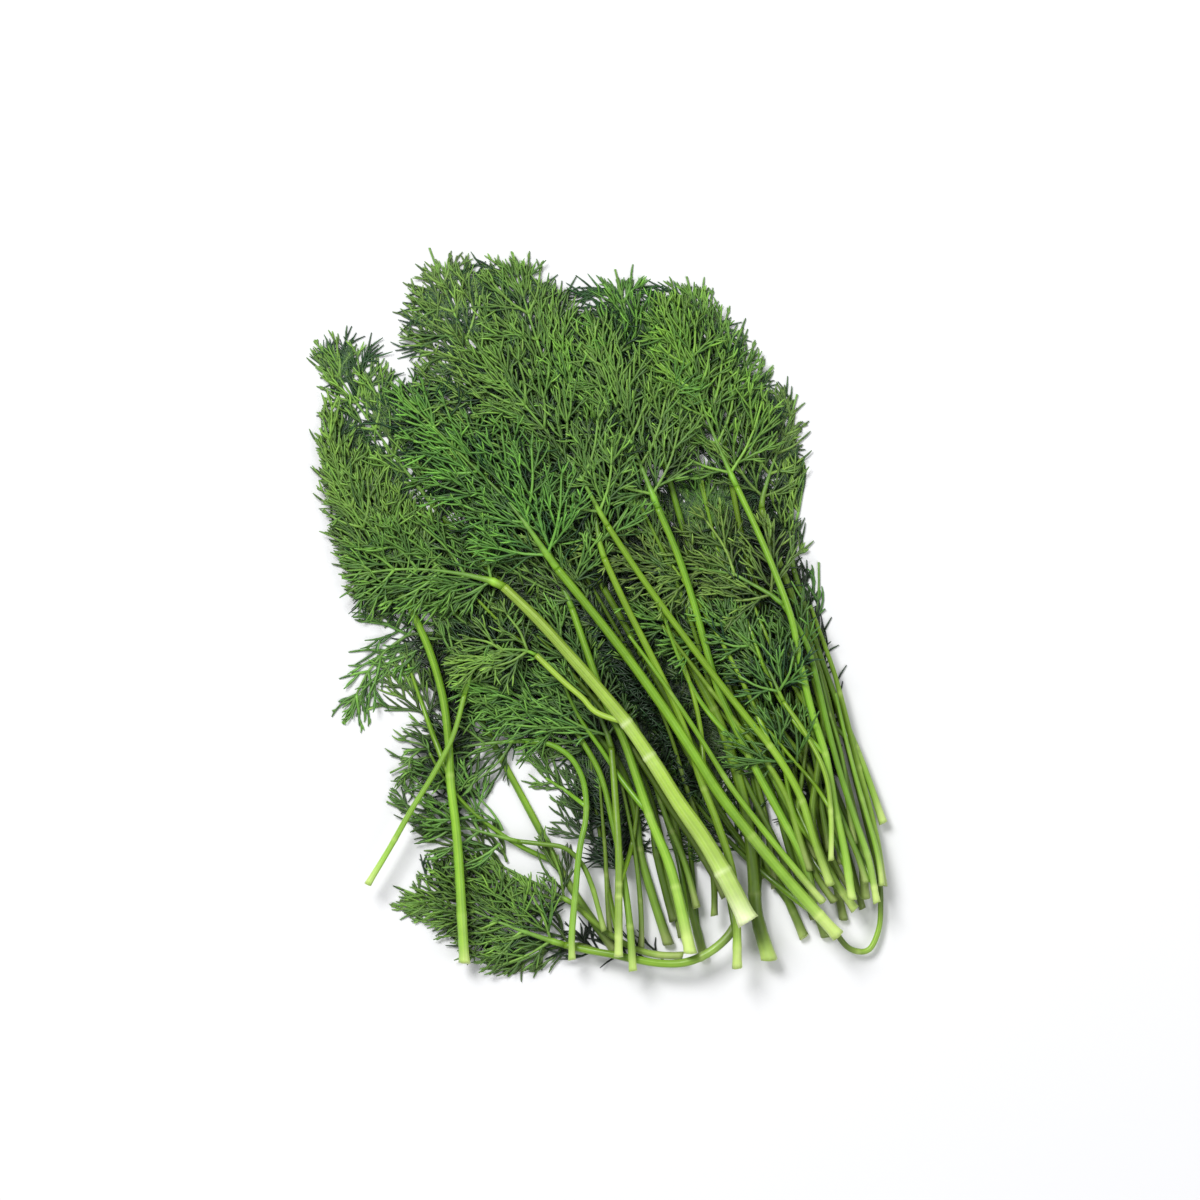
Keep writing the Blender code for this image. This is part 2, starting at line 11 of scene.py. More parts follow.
import bpy
import numpy as np
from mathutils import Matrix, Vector, kdtree


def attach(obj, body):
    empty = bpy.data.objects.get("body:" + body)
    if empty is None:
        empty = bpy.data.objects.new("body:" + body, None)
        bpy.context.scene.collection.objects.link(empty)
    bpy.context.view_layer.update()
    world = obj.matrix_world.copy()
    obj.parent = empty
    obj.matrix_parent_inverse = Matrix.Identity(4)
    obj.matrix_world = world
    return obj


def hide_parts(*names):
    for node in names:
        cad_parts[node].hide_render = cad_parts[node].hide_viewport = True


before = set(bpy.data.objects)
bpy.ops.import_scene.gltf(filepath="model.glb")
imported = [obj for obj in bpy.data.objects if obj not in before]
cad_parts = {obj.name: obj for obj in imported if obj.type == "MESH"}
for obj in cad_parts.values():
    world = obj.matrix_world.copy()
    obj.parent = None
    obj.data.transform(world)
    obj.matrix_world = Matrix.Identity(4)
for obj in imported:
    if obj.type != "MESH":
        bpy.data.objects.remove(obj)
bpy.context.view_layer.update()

bl_info = {
    "name": "Dill bunch",
    "version": (1, 0, 0),
    "blender": (4, 5, 0),
    "location": "3D View > Sidebar > Dill",
    "description": "Dresses the solids of a cut dill bunch with ribbed stalks and feathery fronds",
    "category": "Object",
}

MM = 0.001

# The plan of the bunch in millimetres, as the solids were laid out, and the point of it that is the origin.
MIDDLE = (-1.1, -1.4)
STALK_STEP = 13.0
BEND_STEP = 6.5
BENT = ("right_low", "low_down", "low_up", "low_left", "side_low", "side_arch")
AXIS_WIDTH = 1.25
JOINT_GAP = 0.3
LEAF_ANGLE = math.radians(46)

# name: (stalk route, frond route, width at the cut, width at the frond,
#        longest side leaf, pairs of side leaves)
SPRIGS = {
    "left_high": (
        [(30, -97), (26, -81), (23, -67), (20, -53), (13, -37), (-1, -19), (-22, 3), (-41, 24)],
        [(-41, 24), (-57, 44), (-69, 61), (-79, 76)], 2.6, 1.8, 22, 6),
    "left_low": (
        [(20, -93), (16, -81), (12, -67), (10, -53), (5, -41), (-10, -23), (-27, -9), (-43, 2)],
        [(-43, 2), (-59, 18), (-71, 36), (-77, 55)], 2.8, 1.8, 20, 6),
    "top_left": (
        [(58, -91), (51, -76), (41, -61), (32, -46), (20, -25), (4, 3), (-10, 27), (-22, 48)],
        [(-22, 48), (-33, 69), (-41, 86), (-47, 102)], 2.6, 1.7, 23, 6),
    "top_centre": (
        [(48, -97), (45, -88), (44, -76), (43, -67), (41, -53), (34, -30), (19, -2), (4, 26), (-6, 48)],
        [(-6, 48), (-14, 68), (-20, 86), (-24, 101)], 4.2, 1.8, 22, 6),
    "top_right": (
        [(69, -86), (66, -72), (61, -53), (55, -30), (48, -8), (41, 19), (36, 45)],
        [(36, 45), (32, 64), (29, 79), (25, 94)], 2.4, 1.6, 20, 6),
    "top_middle": (
        [(64, -91), (57, -72), (52, -53), (43, -30), (33, -8), (25, 20), (18, 45)],
        [(18, 45), (13, 64), (9, 80), (5, 96)], 2.4, 1.7, 22, 6),
    "right_low": (
        [(62, -84), (68, -91), (73, -96), (77, -93), (79, -87), (79, -75), (76, -62), (73, -50),
         (69, -34), (65, -20), (62, -12)],
        [(62, -12), (61, -4), (62, 5), (62, 14)], 1.8, 1.3, 9, 4),
    "right_middle": (
        [(80, -59), (77, -50), (72, -37), (67, -25), (62, -11), (58, 2), (55, 12)],
        [(55, 12), (55, 22), (57, 31), (58, 40)], 2.2, 1.5, 12, 4),
    "fallen_left": (
        [(5, -95), (0, -88), (-8, -76), (-16, -61), (-24, -46), (-31, -33), (-37, -19), (-41, -8)],
        [(-41, -8), (-52, -6), (-63, -15), (-71, -31)], 2.6, 1.7, 16, 5),
    "low_down": (
        [(10, -97), (1, -95), (-5, -93)],
        [(-5, -93), (-13, -94), (-20, -98), (-25, -102)], 2.0, 1.4, 10, 3),
    "low_up": (
        [(24, -96), (13, -95), (2, -89), (-6, -82)],
        [(-6, -82), (-19, -75), (-33, -68), (-46, -62)], 2.2, 1.6, 18, 5),
    "low_left": (
        [(40, -85), (35, -92), (27, -97), (18, -98), (4, -95.5), (-9, -93)],
        [(-9, -93), (-24, -88), (-40, -82), (-57, -82)], 2.8, 2.0, 20, 6),
    "side_low": (
        [(2, -89), (-2, -75), (-7, -67), (-14, -65), (-22, -64)],
        [(-22, -64), (-34, -61), (-47, -58), (-59, -53)], 1.6, 1.3, 15, 5),
    "side_arch": (
        [(-7, -97), (-7, -89), (-6, -78), (-5, -67), (-3, -56), (-4, -47), (-7, -41), (-13, -37), (-20, -36)],
        [(-20, -36), (-33, -37), (-47, -40), (-58, -45)], 2.0, 1.5, 15, 5),
    "inner_left": (
        [(10, -100), (9, -86), (7, -72), (4, -57), (0, -43), (-6, -33)],
        [(-6, -33), (-15, -26), (-26, -22), (-37, -19)], 2.2, 1.6, 15, 5),
    "inner_middle": (
        [(6, -96), (6, -82), (6, -67), (5, -51), (4, -38)],
        [(4, -38), (-1, -25), (-7, -12), (-15, 0)], 2.4, 1.8, 17, 5),
    "long_left": (
        [(-37, -98), (-38, -81), (-39, -64), (-41, -47), (-42, -30), (-45, -16), (-48, -8), (-52, 1)],
        [(-52, 1), (-61, 16), (-69, 30), (-76, 43)], 3.0, 2.1, 19, 6),
    "thin_left": (
        [(-64, -76), (-55, -61), (-49, -50), (-43, -41), (-39, -31), (-37, -23)],
        [(-37, -23), (-34, -11), (-36, 3), (-41, 16)], 1.8, 1.4, 16, 5),
    "right_high": (
        [(75, -80), (74, -69), (71, -53), (67, -37), (64, -23), (59, -8), (54, 6), (49, 19), (46, 29)],
        [(46, 29), (49, 41), (53, 51), (56, 61)], 2.5, 1.8, 15, 5),
    "side_right": (
        [(72, -83), (64, -71), (60, -58), (62, -41), (63, -27), (60, -17)],
        [(60, -17), (46, -9), (29, -8), (12, 2)], 2.5, 1.7, 17, 5),
    "side_upper": (
        [(78, -81), (76, -70), (71, -55), (66, -39), (62, -22), (58, -8), (52, 2)],
        [(52, 2), (37, 11), (18, 13), (-2, 20)], 2.0, 1.5, 19, 5),
    "centre_low": (
        [(26, -95), (23, -81), (19, -67), (13, -53), (9, -39), (1, -22), (-7, 1)],
        [(-7, 1), (-15, 17), (-25, 33), (-38, 44)], 3.4, 1.9, 20, 6),
    "centre_up": (
        [(39, -99), (39, -88), (37, -69), (30, -50), (23, -29), (13, -8), (2, 15)],
        [(2, 15), (-1, 31), (-3, 48), (-9, 73)], 2.6, 1.8, 20, 6),
    "right_top": (
        [(71, -80), (69, -67), (66, -53), (63, -37), (58, -22), (55, -5), (48, 15), (39, 35)],
        [(39, 35), (32, 51), (26, 68), (19, 85)], 2.4, 1.7, 20, 6),
    "centre_right": (
        [(61, -81), (56, -65), (49, -53), (42, -39), (34, -22), (29, -5), (24, 12), (17, 29)],
        [(17, 29), (11, 44), (4, 61), (-1, 78)], 2.6, 1.9, 20, 6),
    "centre_top": (
        [(65, -76), (61, -65), (58, -55), (53, -44), (43, -31), (29, -13), (15, 6), (3, 24)],
        [(3, 24), (-6, 40), (-17, 54), (-33, 73)], 2.4, 1.7, 21, 6),
    "fork_right": (
        [(65, -69), (65, -57), (64, -47), (60, -37), (52, -25)],
        [(52, -25), (48, -16), (41, -8), (32, 0)], 1.5, 1.3, 11, 4),
    "thick_stem": (
        [(42, -86), (36, -74), (29, -62), (20, -49), (12, -36), (1, -22), (-14, -5), (-26, 7)],
        [(-26, 7), (-40, 11), (-55, 12), (-71, 10)], 5.8, 2.6, 20, 6),
    "long_stem": (
        [(67, -90), (57, -79), (46, -66), (35, -52), (26, -38), (16, -23), (2, -4), (-11, 12)],
        [(-11, 12), (-24, 30), (-38, 44), (-55, 61)], 3.6, 2.3, 21, 6),
}

# The side branch of the thick stem.
BRANCH_FROM = (8, -31)
BRANCH_ROUTE = [(5, -31), (0, -28), (-5, -23), (-11, -18), (-17, -12)]
BRANCH_FROND = [(-17, -12), (-24, -10), (-31, -12), (-38, -15)]
BRANCH_WIDTH = 1.7
BRANCH_NECK = 1.1
BRANCH_REACH = 11
BRANCH_PAIRS = 3

# The painted shade of the dark threads deep in the bunch, as shares of a full-grown thread's red, green and
# blue.
DEEP_SHADE = np.array([0.48, 0.58, 0.75])

# The thick stem's joints: one this far from the cut end, and one this far below that of the side branch.
LOW_JOINT = 15.5
JOINT_STEP = 11.2

# How far the leaves reach in plan: a thread that would pass this outline is cut shorter.
OUTLINE = [
    (-48, 97), (-37, 101), (-16, 99), (-12, 91), (12, 95), (31, 91), (49, 70), (58, 52), (57, 24), (62, 10),
    (65, -22), (62, -50), (52, -70), (38, -74), (20, -68), (8, -76), (7, -90), (-15, -100), (-30, -102),
    (-45, -90), (-58, -82), (-50, -72), (-50, -62), (-59, -52), (-54, -38), (-66, -38), (-73, -28), (-66, -6),
    (-76, 24), (-79, 48), (-77, 62), (-81, 75), (-66, 86)]
BARE_SPOT = [(-28, -48), (-15, -48), (-14, -56), (-19, -65), (-14, -72), (-25, -72)]

# The photograph is 1200 pixels across and shows this many millimetres.
VIEW_WIDTH = 336.0
VIEW_CENTRE = (1.9, 4.8)
CAMERA_HEIGHT = 2.0


# The least height in mm of the middle of a thread, of a rib and of a leaf stalk, and of the skin of a stalk
# and of a frond.
LOWEST_THREAD = 0.42
LOWEST_RIB = 0.45
LOWEST_LEAF_STALK = 0.6
LOWEST_SKIN = 0.01
ABOVE_FLOOR = 0.02

# The light on the low and the high sprays, and how deep they stay under the top of the bunch.
LOW_LIGHT = 0.6
LOW_DEPTH = 4.0
HIGH_LIGHT = 0.95
HIGH_DEPTH = 2.0

# The steps of a leaf stalk's line. A spray's leaves start at this share of it, this far apart in mm.
LEAF_STALK_STEPS = 24
SPRAY_START = 0.5
SPRAY_STEP = 8.5

# Fronds that lie open lack this share of their shoots, and their shoots bend this many times as much.
OPEN_GAPS = 0.36
OPEN_CURL = 1.9

# Dark threads that stand in for the shade deep in the bunch, to each millimetre of a frond's axis and of a
# stalk's upper part, and how far they sink.
DARK_IN_FROND = 2.6
DARK_BY_STALK = 1.8
FROND_SINK = (0.8, 4.0)
STALK_SINK = (1.5, 6.0)

# The stations on the middle line of the thick stem, to find the side branch's place by.
STEM_STATIONS = 200


# Curves in plan and in space


def distances(line):
    """How far along a line each of its points is."""
    return np.concatenate([[0], np.cumsum(np.linalg.norm(np.diff(line, axis=0), axis=1))])


def points_at(line, wanted):
    """The points at these distances along a line."""
    along = distances(line)
    return np.column_stack([np.interp(wanted, along, column) for column in line.T])


def smooth(route, step, before=None, after=None):
    """Evenly spaced points, about a step apart, on a smooth curve through the route's points."""
    points = np.array(route, float)
    before = 2 * points[0] - points[1] if before is None else np.array(before, float)
    after = 2 * points[-1] - points[-2] if after is None else np.array(after, float)
    ends = np.vstack([before, points, after])
    fine = []
    for index in range(len(points) - 1):
        back, start, end, on = ends[index : index + 4]
        for t in np.linspace(0, 1, 16, endpoint=False):
            fine.append(
                0.5 * (2 * start + (end - back) * t
                       + (2 * back - 5 * start + 4 * end - on) * t**2
                       + (3 * start - back - 3 * end + on) * t**3))
    fine = np.array(fine + [points[-1]])
    total = distances(fine)[-1]
    return points_at(fine, np.linspace(0, total, max(2, round(total / step)) + 1))


def unit(vector):
    return vector / max(np.linalg.norm(vector), 1e-9)


def turned(direction, angle):
    """A direction in plan turned to the left by the angle."""
    cos, sin = math.cos(angle), math.sin(angle)
    return np.array([direction[0] * cos - direction[1] * sin, direction[0] * sin + direction[1] * cos])


def in_frame(points):
    """Points of the plan, moved so that the middle of the bunch is the origin."""
    return np.asarray(points, float) - np.array(MIDDLE)


def corners_of(mesh):
    """The corners of a mesh in millimetres."""
    corners = np.empty(len(mesh.vertices) * 3)
    mesh.vertices.foreach_get("co", corners)
    return corners.reshape(-1, 3) / MM


class Solid:
    """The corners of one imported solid, to find heights and side leaves by."""

    def __init__(self, node):
        self.corners = corners_of(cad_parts[node].data)
        self.tree = kdtree.KDTree(len(self.corners))
        for index, (x, y, _) in enumerate(self.corners):
            self.tree.insert((x, y, 0), index)
        self.tree.balance()

    def has_corner(self, point, within=0.25):
        """Whether a corner of the solid is at this point in plan."""
        return self.tree.find((point[0], point[1], 0))[2] < within

    def height(self, point, reach):
        """The middle height of the corners within reach of a point in plan."""
        found = [index for _, index, _ in self.tree.find_range((point[0], point[1], 0), reach)]
        if not found:
            found = [index for _, index, _ in self.tree.find_n((point[0], point[1], 0), 4)]
        heights = self.corners[found, 2]
        return (heights.min() + heights.max()) / 2


def lifted(points, solid, reach):
    """Points of the frame's plan with the heights of the solid."""
    return np.array([(x, y, solid.height((x, y), reach)) for x, y in points])


def stalk_line(name):
    """The stalk's middle line, station by station, and the radius at each."""
    stalk_route, frond_route, cut_width, neck_width, _, _ = SPRIGS[name]
    step = BEND_STEP if name in BENT else STALK_STEP
    plan = in_frame(smooth(stalk_route, step, None, frond_route[1]))
    along = np.linspace(0, 1, len(plan))
    radii = (cut_width + (neck_width - cut_width) * along**0.7) / 2
    solid = Solid("stalk_" + name)
    line = np.array([
        (x, y, solid.height((x, y), radius * 1.12)) for (x, y), radius in zip(plan, radii)])
    return line, radii


def frond_leaves(name, route, before, reach, pairs, start_width):
    """The axis of a frond and its side leaves, as the solid has them: a list of lines in 3-D."""
    solid = Solid(name)
    chance = random.Random(name)
    axis = in_frame(smooth(route, 0.5, before))
    total = distances(axis)[-1]
    places = [total * (0.05 + 0.83 * (number / (pairs - 0.3)) ** 0.92) for number in range(pairs)]
    stations = [JOINT_GAP]
    for place in places:
        stations += [place + JOINT_GAP + 0.8, place + JOINT_GAP + 1.8]
    stations.append(total)
    taper = np.linspace(min(start_width, AXIS_WIDTH), 0.8, len(stations))
    body = points_at(axis, stations)
    leaves = []
    for number in range(pairs):
        run = 1 + 2 * number
        middle = (body[run] + body[run + 1]) / 2
        direction = unit(body[run + 1] - body[run])
        for hand in (1, -1):
            share = number / max(pairs - 1, 1)
            length = reach * (1 - 0.62 * share**1.2) * chance.uniform(0.86, 1.1)
            angle = LEAF_ANGLE * (1.08 - 0.3 * share) * chance.uniform(0.9, 1.1)
            start = middle + turned(direction, hand * math.pi / 2) * taper[run] / 2
            aim = turned(direction, hand * angle)
            bend = turned(aim, -hand * math.radians(14))
            for cut in (1, 0.82, 0.66, 0.5):
                size = length * cut
                knee = start + aim * size * 0.5
                end = knee + bend * size * 0.5
                if solid.has_corner(end):
                    shares = [0.3, 0.62] if size > 12.5 else [0.45] if size > 6 else []
                    steps = [0.0] + [place + extra / size for place in shares for extra in (0, 0.95)] + [1.0]
                    points = [middle] + [
                        start + (knee - start) * step * 2 if step < 0.5 else
                        knee + (end - knee) * (step * 2 - 1) for step in steps[1:]]
                    leaves.append((stations[run] / total, hand, lifted(points, solid, 0.75)))
                    break
    return lifted(body, solid, 0.75), leaves


def along_line(line, count):
    """Points at even steps along a line."""
    return points_at(line, np.linspace(0, distances(line)[-1], count))


def line_length(line):
    return np.linalg.norm(np.diff(line, axis=0), axis=1).sum()


def smooth_line(line, count):
    """Points at even steps on a smooth curve through a line's stations."""
    return along_line(smooth(line, line_length(line) / 160), count)


def inside(outline, x, y):
    """Which of the spots lie inside a closed outline."""
    found = np.zeros(x.shape, bool)
    for (x0, y0), (x1, y1) in zip(outline, np.roll(outline, -1, axis=0)):
        if y0 != y1:
            found ^= ((y0 > y) != (y1 > y)) & (x < x0 + (x1 - x0) * (y - y0) / (y1 - y0))
    return found


class Canopy:
    """How high and how far the bunch reaches, to paint shade into its depths and to keep its leaves inside.
    """

    cell = 2.0
    half = (100.0, 125.0)
    sky = 99.0
    clearance = 0.3
    shade_starts = 0.6
    shade_depth = 6.0
    deepest_shade = 0.6

    def __init__(self):
        columns, rows = (int(2 * half / self.cell) for half in self.half)
        top = np.zeros((rows, columns))
        low = np.full((rows, columns), self.sky)
        for name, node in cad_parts.items():
            ends = np.empty(len(node.data.edges) * 2, int)
            node.data.edges.foreach_get("vertices", ends)
            near, far = corners_of(node.data)[ends.reshape(-1, 2).T]
            for share in np.linspace(0, 1, 8):
                spots = near + (far - near) * share
                column, row = self.cells(spots[:, :2], top.shape)
                np.maximum.at(top, (row, column), spots[:, 2])
                if name.startswith("stalk"):
                    np.minimum.at(low, (row, column), spots[:, 2])
        for _ in range(3):
            shifted = self.neighbours(top)
            top = 0.5 * np.max(shifted, axis=0) + 0.5 * np.mean(shifted, axis=0)
        self.top = top
        low = np.minimum(np.min(self.neighbours(low), axis=0), top)
        self.stalks = 0.5 * low + 0.5 * np.mean(self.neighbours(low), axis=0)
        x, y = np.meshgrid(*(np.arange(-half, half) + 0.5 for half in self.half))
        self.leafy = inside(in_frame(OUTLINE), x, y) & ~inside(in_frame(BARE_SPOT), x, y)

    def neighbours(self, grid):
        """The grid shifted to each of the eight cells round a cell, and itself."""
        rows, columns = grid.shape
        padded = np.pad(grid, 1, mode="edge")
        return [padded[up : up + rows, across : across + columns] for up in range(3) for across in range(3)]

    def covers(self, point):
        """Whether a point lies within the outline of the leaves."""
        column, row = int(point[0] + self.half[0]), int(point[1] + self.half[1])
        return bool(self.leafy[row, column])

    def cells(self, spots, shape):
        """The column and the row of each spot in a grid."""
        column = np.clip(((spots[..., 0] + self.half[0]) / self.cell).astype(int), 0, shape[1] - 1)
        row = np.clip(((spots[..., 1] + self.half[1]) / self.cell).astype(int), 0, shape[0] - 1)
        return column, row

    def height(self, points):
        """How high the bunch reaches over each point."""
        return self.blend(self.top, points)

    def ceiling(self, points, under):
        """The greatest height of a leaf that stays this far under the top and under every stalk."""
        return np.minimum(self.height(points) - under, self.blend(self.stalks, points) - self.clearance)

    def blend(self, grid, points):
        """A grid's value at each point, blended between the cells."""
        rows, columns = grid.shape
        across = np.clip((points[..., 0] + self.half[0]) / self.cell - 0.5, 0, columns - 1.001)
        along = np.clip((points[..., 1] + self.half[1]) / self.cell - 0.5, 0, rows - 1.001)
        column, row = across.astype(int), along.astype(int)
        part, rest = across - column, along - row
        near = grid[row, column] * (1 - part) + grid[row, column + 1] * part
        far = grid[row + 1, column] * (1 - part) + grid[row + 1, column + 1] * part
        return near * (1 - rest) + far * rest

    def light(self, points):
        """How much painted shade each point's tint gets: a factor from 1 at the top of the bunch to less deep
        under it.
        """
        depth = self.height(points) - points[..., 2] - self.shade_starts
        return 1 - self.deepest_shade * np.clip(depth / self.shade_depth, 0, 1)


CANOPY = Canopy()


# Paths that leaves and threads grow from


class Rib:
    """The middle line of a stalk, an axis or a side leaf, through given points."""

    def __init__(self, line):
        self.line = [Vector(point) for point in line]
        self.length = sum((far - near).length for near, far in zip(self.line, self.line[1:]))

    def part(self, share):
        place = min(max(share, 0), 1) * (len(self.line) - 1)
        index = min(int(place), len(self.line) - 2)
        return index, place - index

    def point(self, share):
        index, rest = self.part(share)
        return self.line[index].lerp(self.line[index + 1], rest)

    def ahead(self, share):
        index, _ = self.part(share)
        return (self.line[index + 1] - self.line[index]).normalized()

    def left(self, share):
        ahead = self.ahead(share)
        return Vector((-ahead.y, ahead.x, 0)).normalized()


class Arc:
    """A thin shoot: part of a circle that starts along one direction and bends to its left."""

    def __init__(self, start, aim, side, length, bend):
        self.start = start
        self.aim = aim
        self.side = side
        self.length = length
        self.bend = bend if abs(bend) > 1e-3 else 1e-3

    def point(self, share):
        turn = self.bend * share
        reach = self.length / self.bend
        return self.start + (self.aim * math.sin(turn) + self.side * (1 - math.cos(turn))) * reach

    def ahead(self, share):
        turn = self.bend * share
        return self.aim * math.cos(turn) + self.side * math.sin(turn)

    def left(self, share):
        turn = self.bend * share
        return self.side * math.cos(turn) - self.aim * math.sin(turn)


def forked(path, share, hand, angle, length, bend, roll, lift):
    """An arc that leaves a path to the left (hand 1) or right (hand -1) at an angle."""
    ahead = path.ahead(share)
    left = path.left(share)
    aim = ahead * math.cos(angle) + left * (hand * math.sin(angle))
    side = left * math.cos(angle) - ahead * (hand * math.sin(angle))
    over = aim.cross(side)
    aim = aim * math.cos(lift) + over * math.sin(lift)
    side = side * math.cos(roll) + over * math.sin(roll)
    return Arc(path.point(share), aim, side, length, bend)


# Meshes


def add_faces(mesh, faces):
    """Fills a mesh, whose corners are set, with arrays of faces of three or more corners each."""
    loops = np.concatenate([block.ravel() for block in faces]).astype(np.int32)
    sizes = np.concatenate([np.full(len(block), block.shape[1]) for block in faces])
    starts = (np.cumsum(sizes) - sizes).astype(np.int32)
    mesh.loops.add(len(loops))
    mesh.loops.foreach_set("vertex_index", loops)
    mesh.polygons.add(len(starts))
    mesh.polygons.foreach_set("loop_start", starts)


def make_mesh(name, corners, faces, tints):
    """A smooth-shaded mesh from corners in millimetres, with a tint at each corner."""
    mesh = bpy.data.meshes.new(name)
    mesh.vertices.add(len(corners))
    mesh.vertices.foreach_set("co", (corners * MM).ravel())
    add_faces(mesh, faces)
    mesh.update(calc_edges=True)
    colours = mesh.color_attributes.new("tint", "FLOAT_COLOR", "POINT")
    values = np.ones((len(corners), 4))
    values[:, :3] = np.clip(tints, 0, 1)
    colours.data.foreach_set("color", values.ravel())
    mesh.shade_smooth()
    return mesh


def between(near, far):
    """The faces between rings of corners, given by their numbers."""
    return np.stack([near, np.roll(near, -1, -1), np.roll(far, -1, -1), far], axis=-1).reshape(-1, 4)


def tubes(lines, radii, tints, sides):
    """Closed tubes round lines with equally many stations: corners, blocks of faces and tints."""
    count = lines.shape[1]
    ahead = np.gradient(lines, axis=1)
    ahead /= np.maximum(np.linalg.norm(ahead, axis=2, keepdims=True), 1e-9)
    side = np.cross(ahead, (0.0, 0.0, 1.0))
    size = np.linalg.norm(side, axis=2, keepdims=True)
    side = np.where(size < 1e-3, (1.0, 0.0, 0.0), side / np.maximum(size, 1e-9))
    over = np.cross(side, ahead)
    angles = np.linspace(0, 2 * math.pi, sides, endpoint=False) + math.pi / 2
    around = side[:, :, None, :] * np.cos(angles)[:, None] + over[:, :, None, :] * np.sin(angles)[:, None]
    rings = lines[:, :, None, :] + radii[:, :, None, None] * around
    number = np.arange(len(lines) * count * sides).reshape(len(lines), count, sides)
    blocks = [between(number[:, :-1], number[:, 1:]), number[:, 0, ::-1], number[:, -1]]
    return rings.reshape(-1, 3), blocks, np.repeat(tints, sides, axis=1).reshape(-1, 3)


def join_shapes(shapes):
    """Corners, blocks of faces and tints of several shapes as those of one."""
    firsts = np.cumsum([0] + [len(corners) for corners, _, _ in shapes])
    blocks = [block + first for (_, part, _), first in zip(shapes, firsts) for block in part]
    corners = np.vstack([corners for corners, _, _ in shapes])
    tints = np.vstack([tints for _, _, tints in shapes])
    return corners, blocks, tints


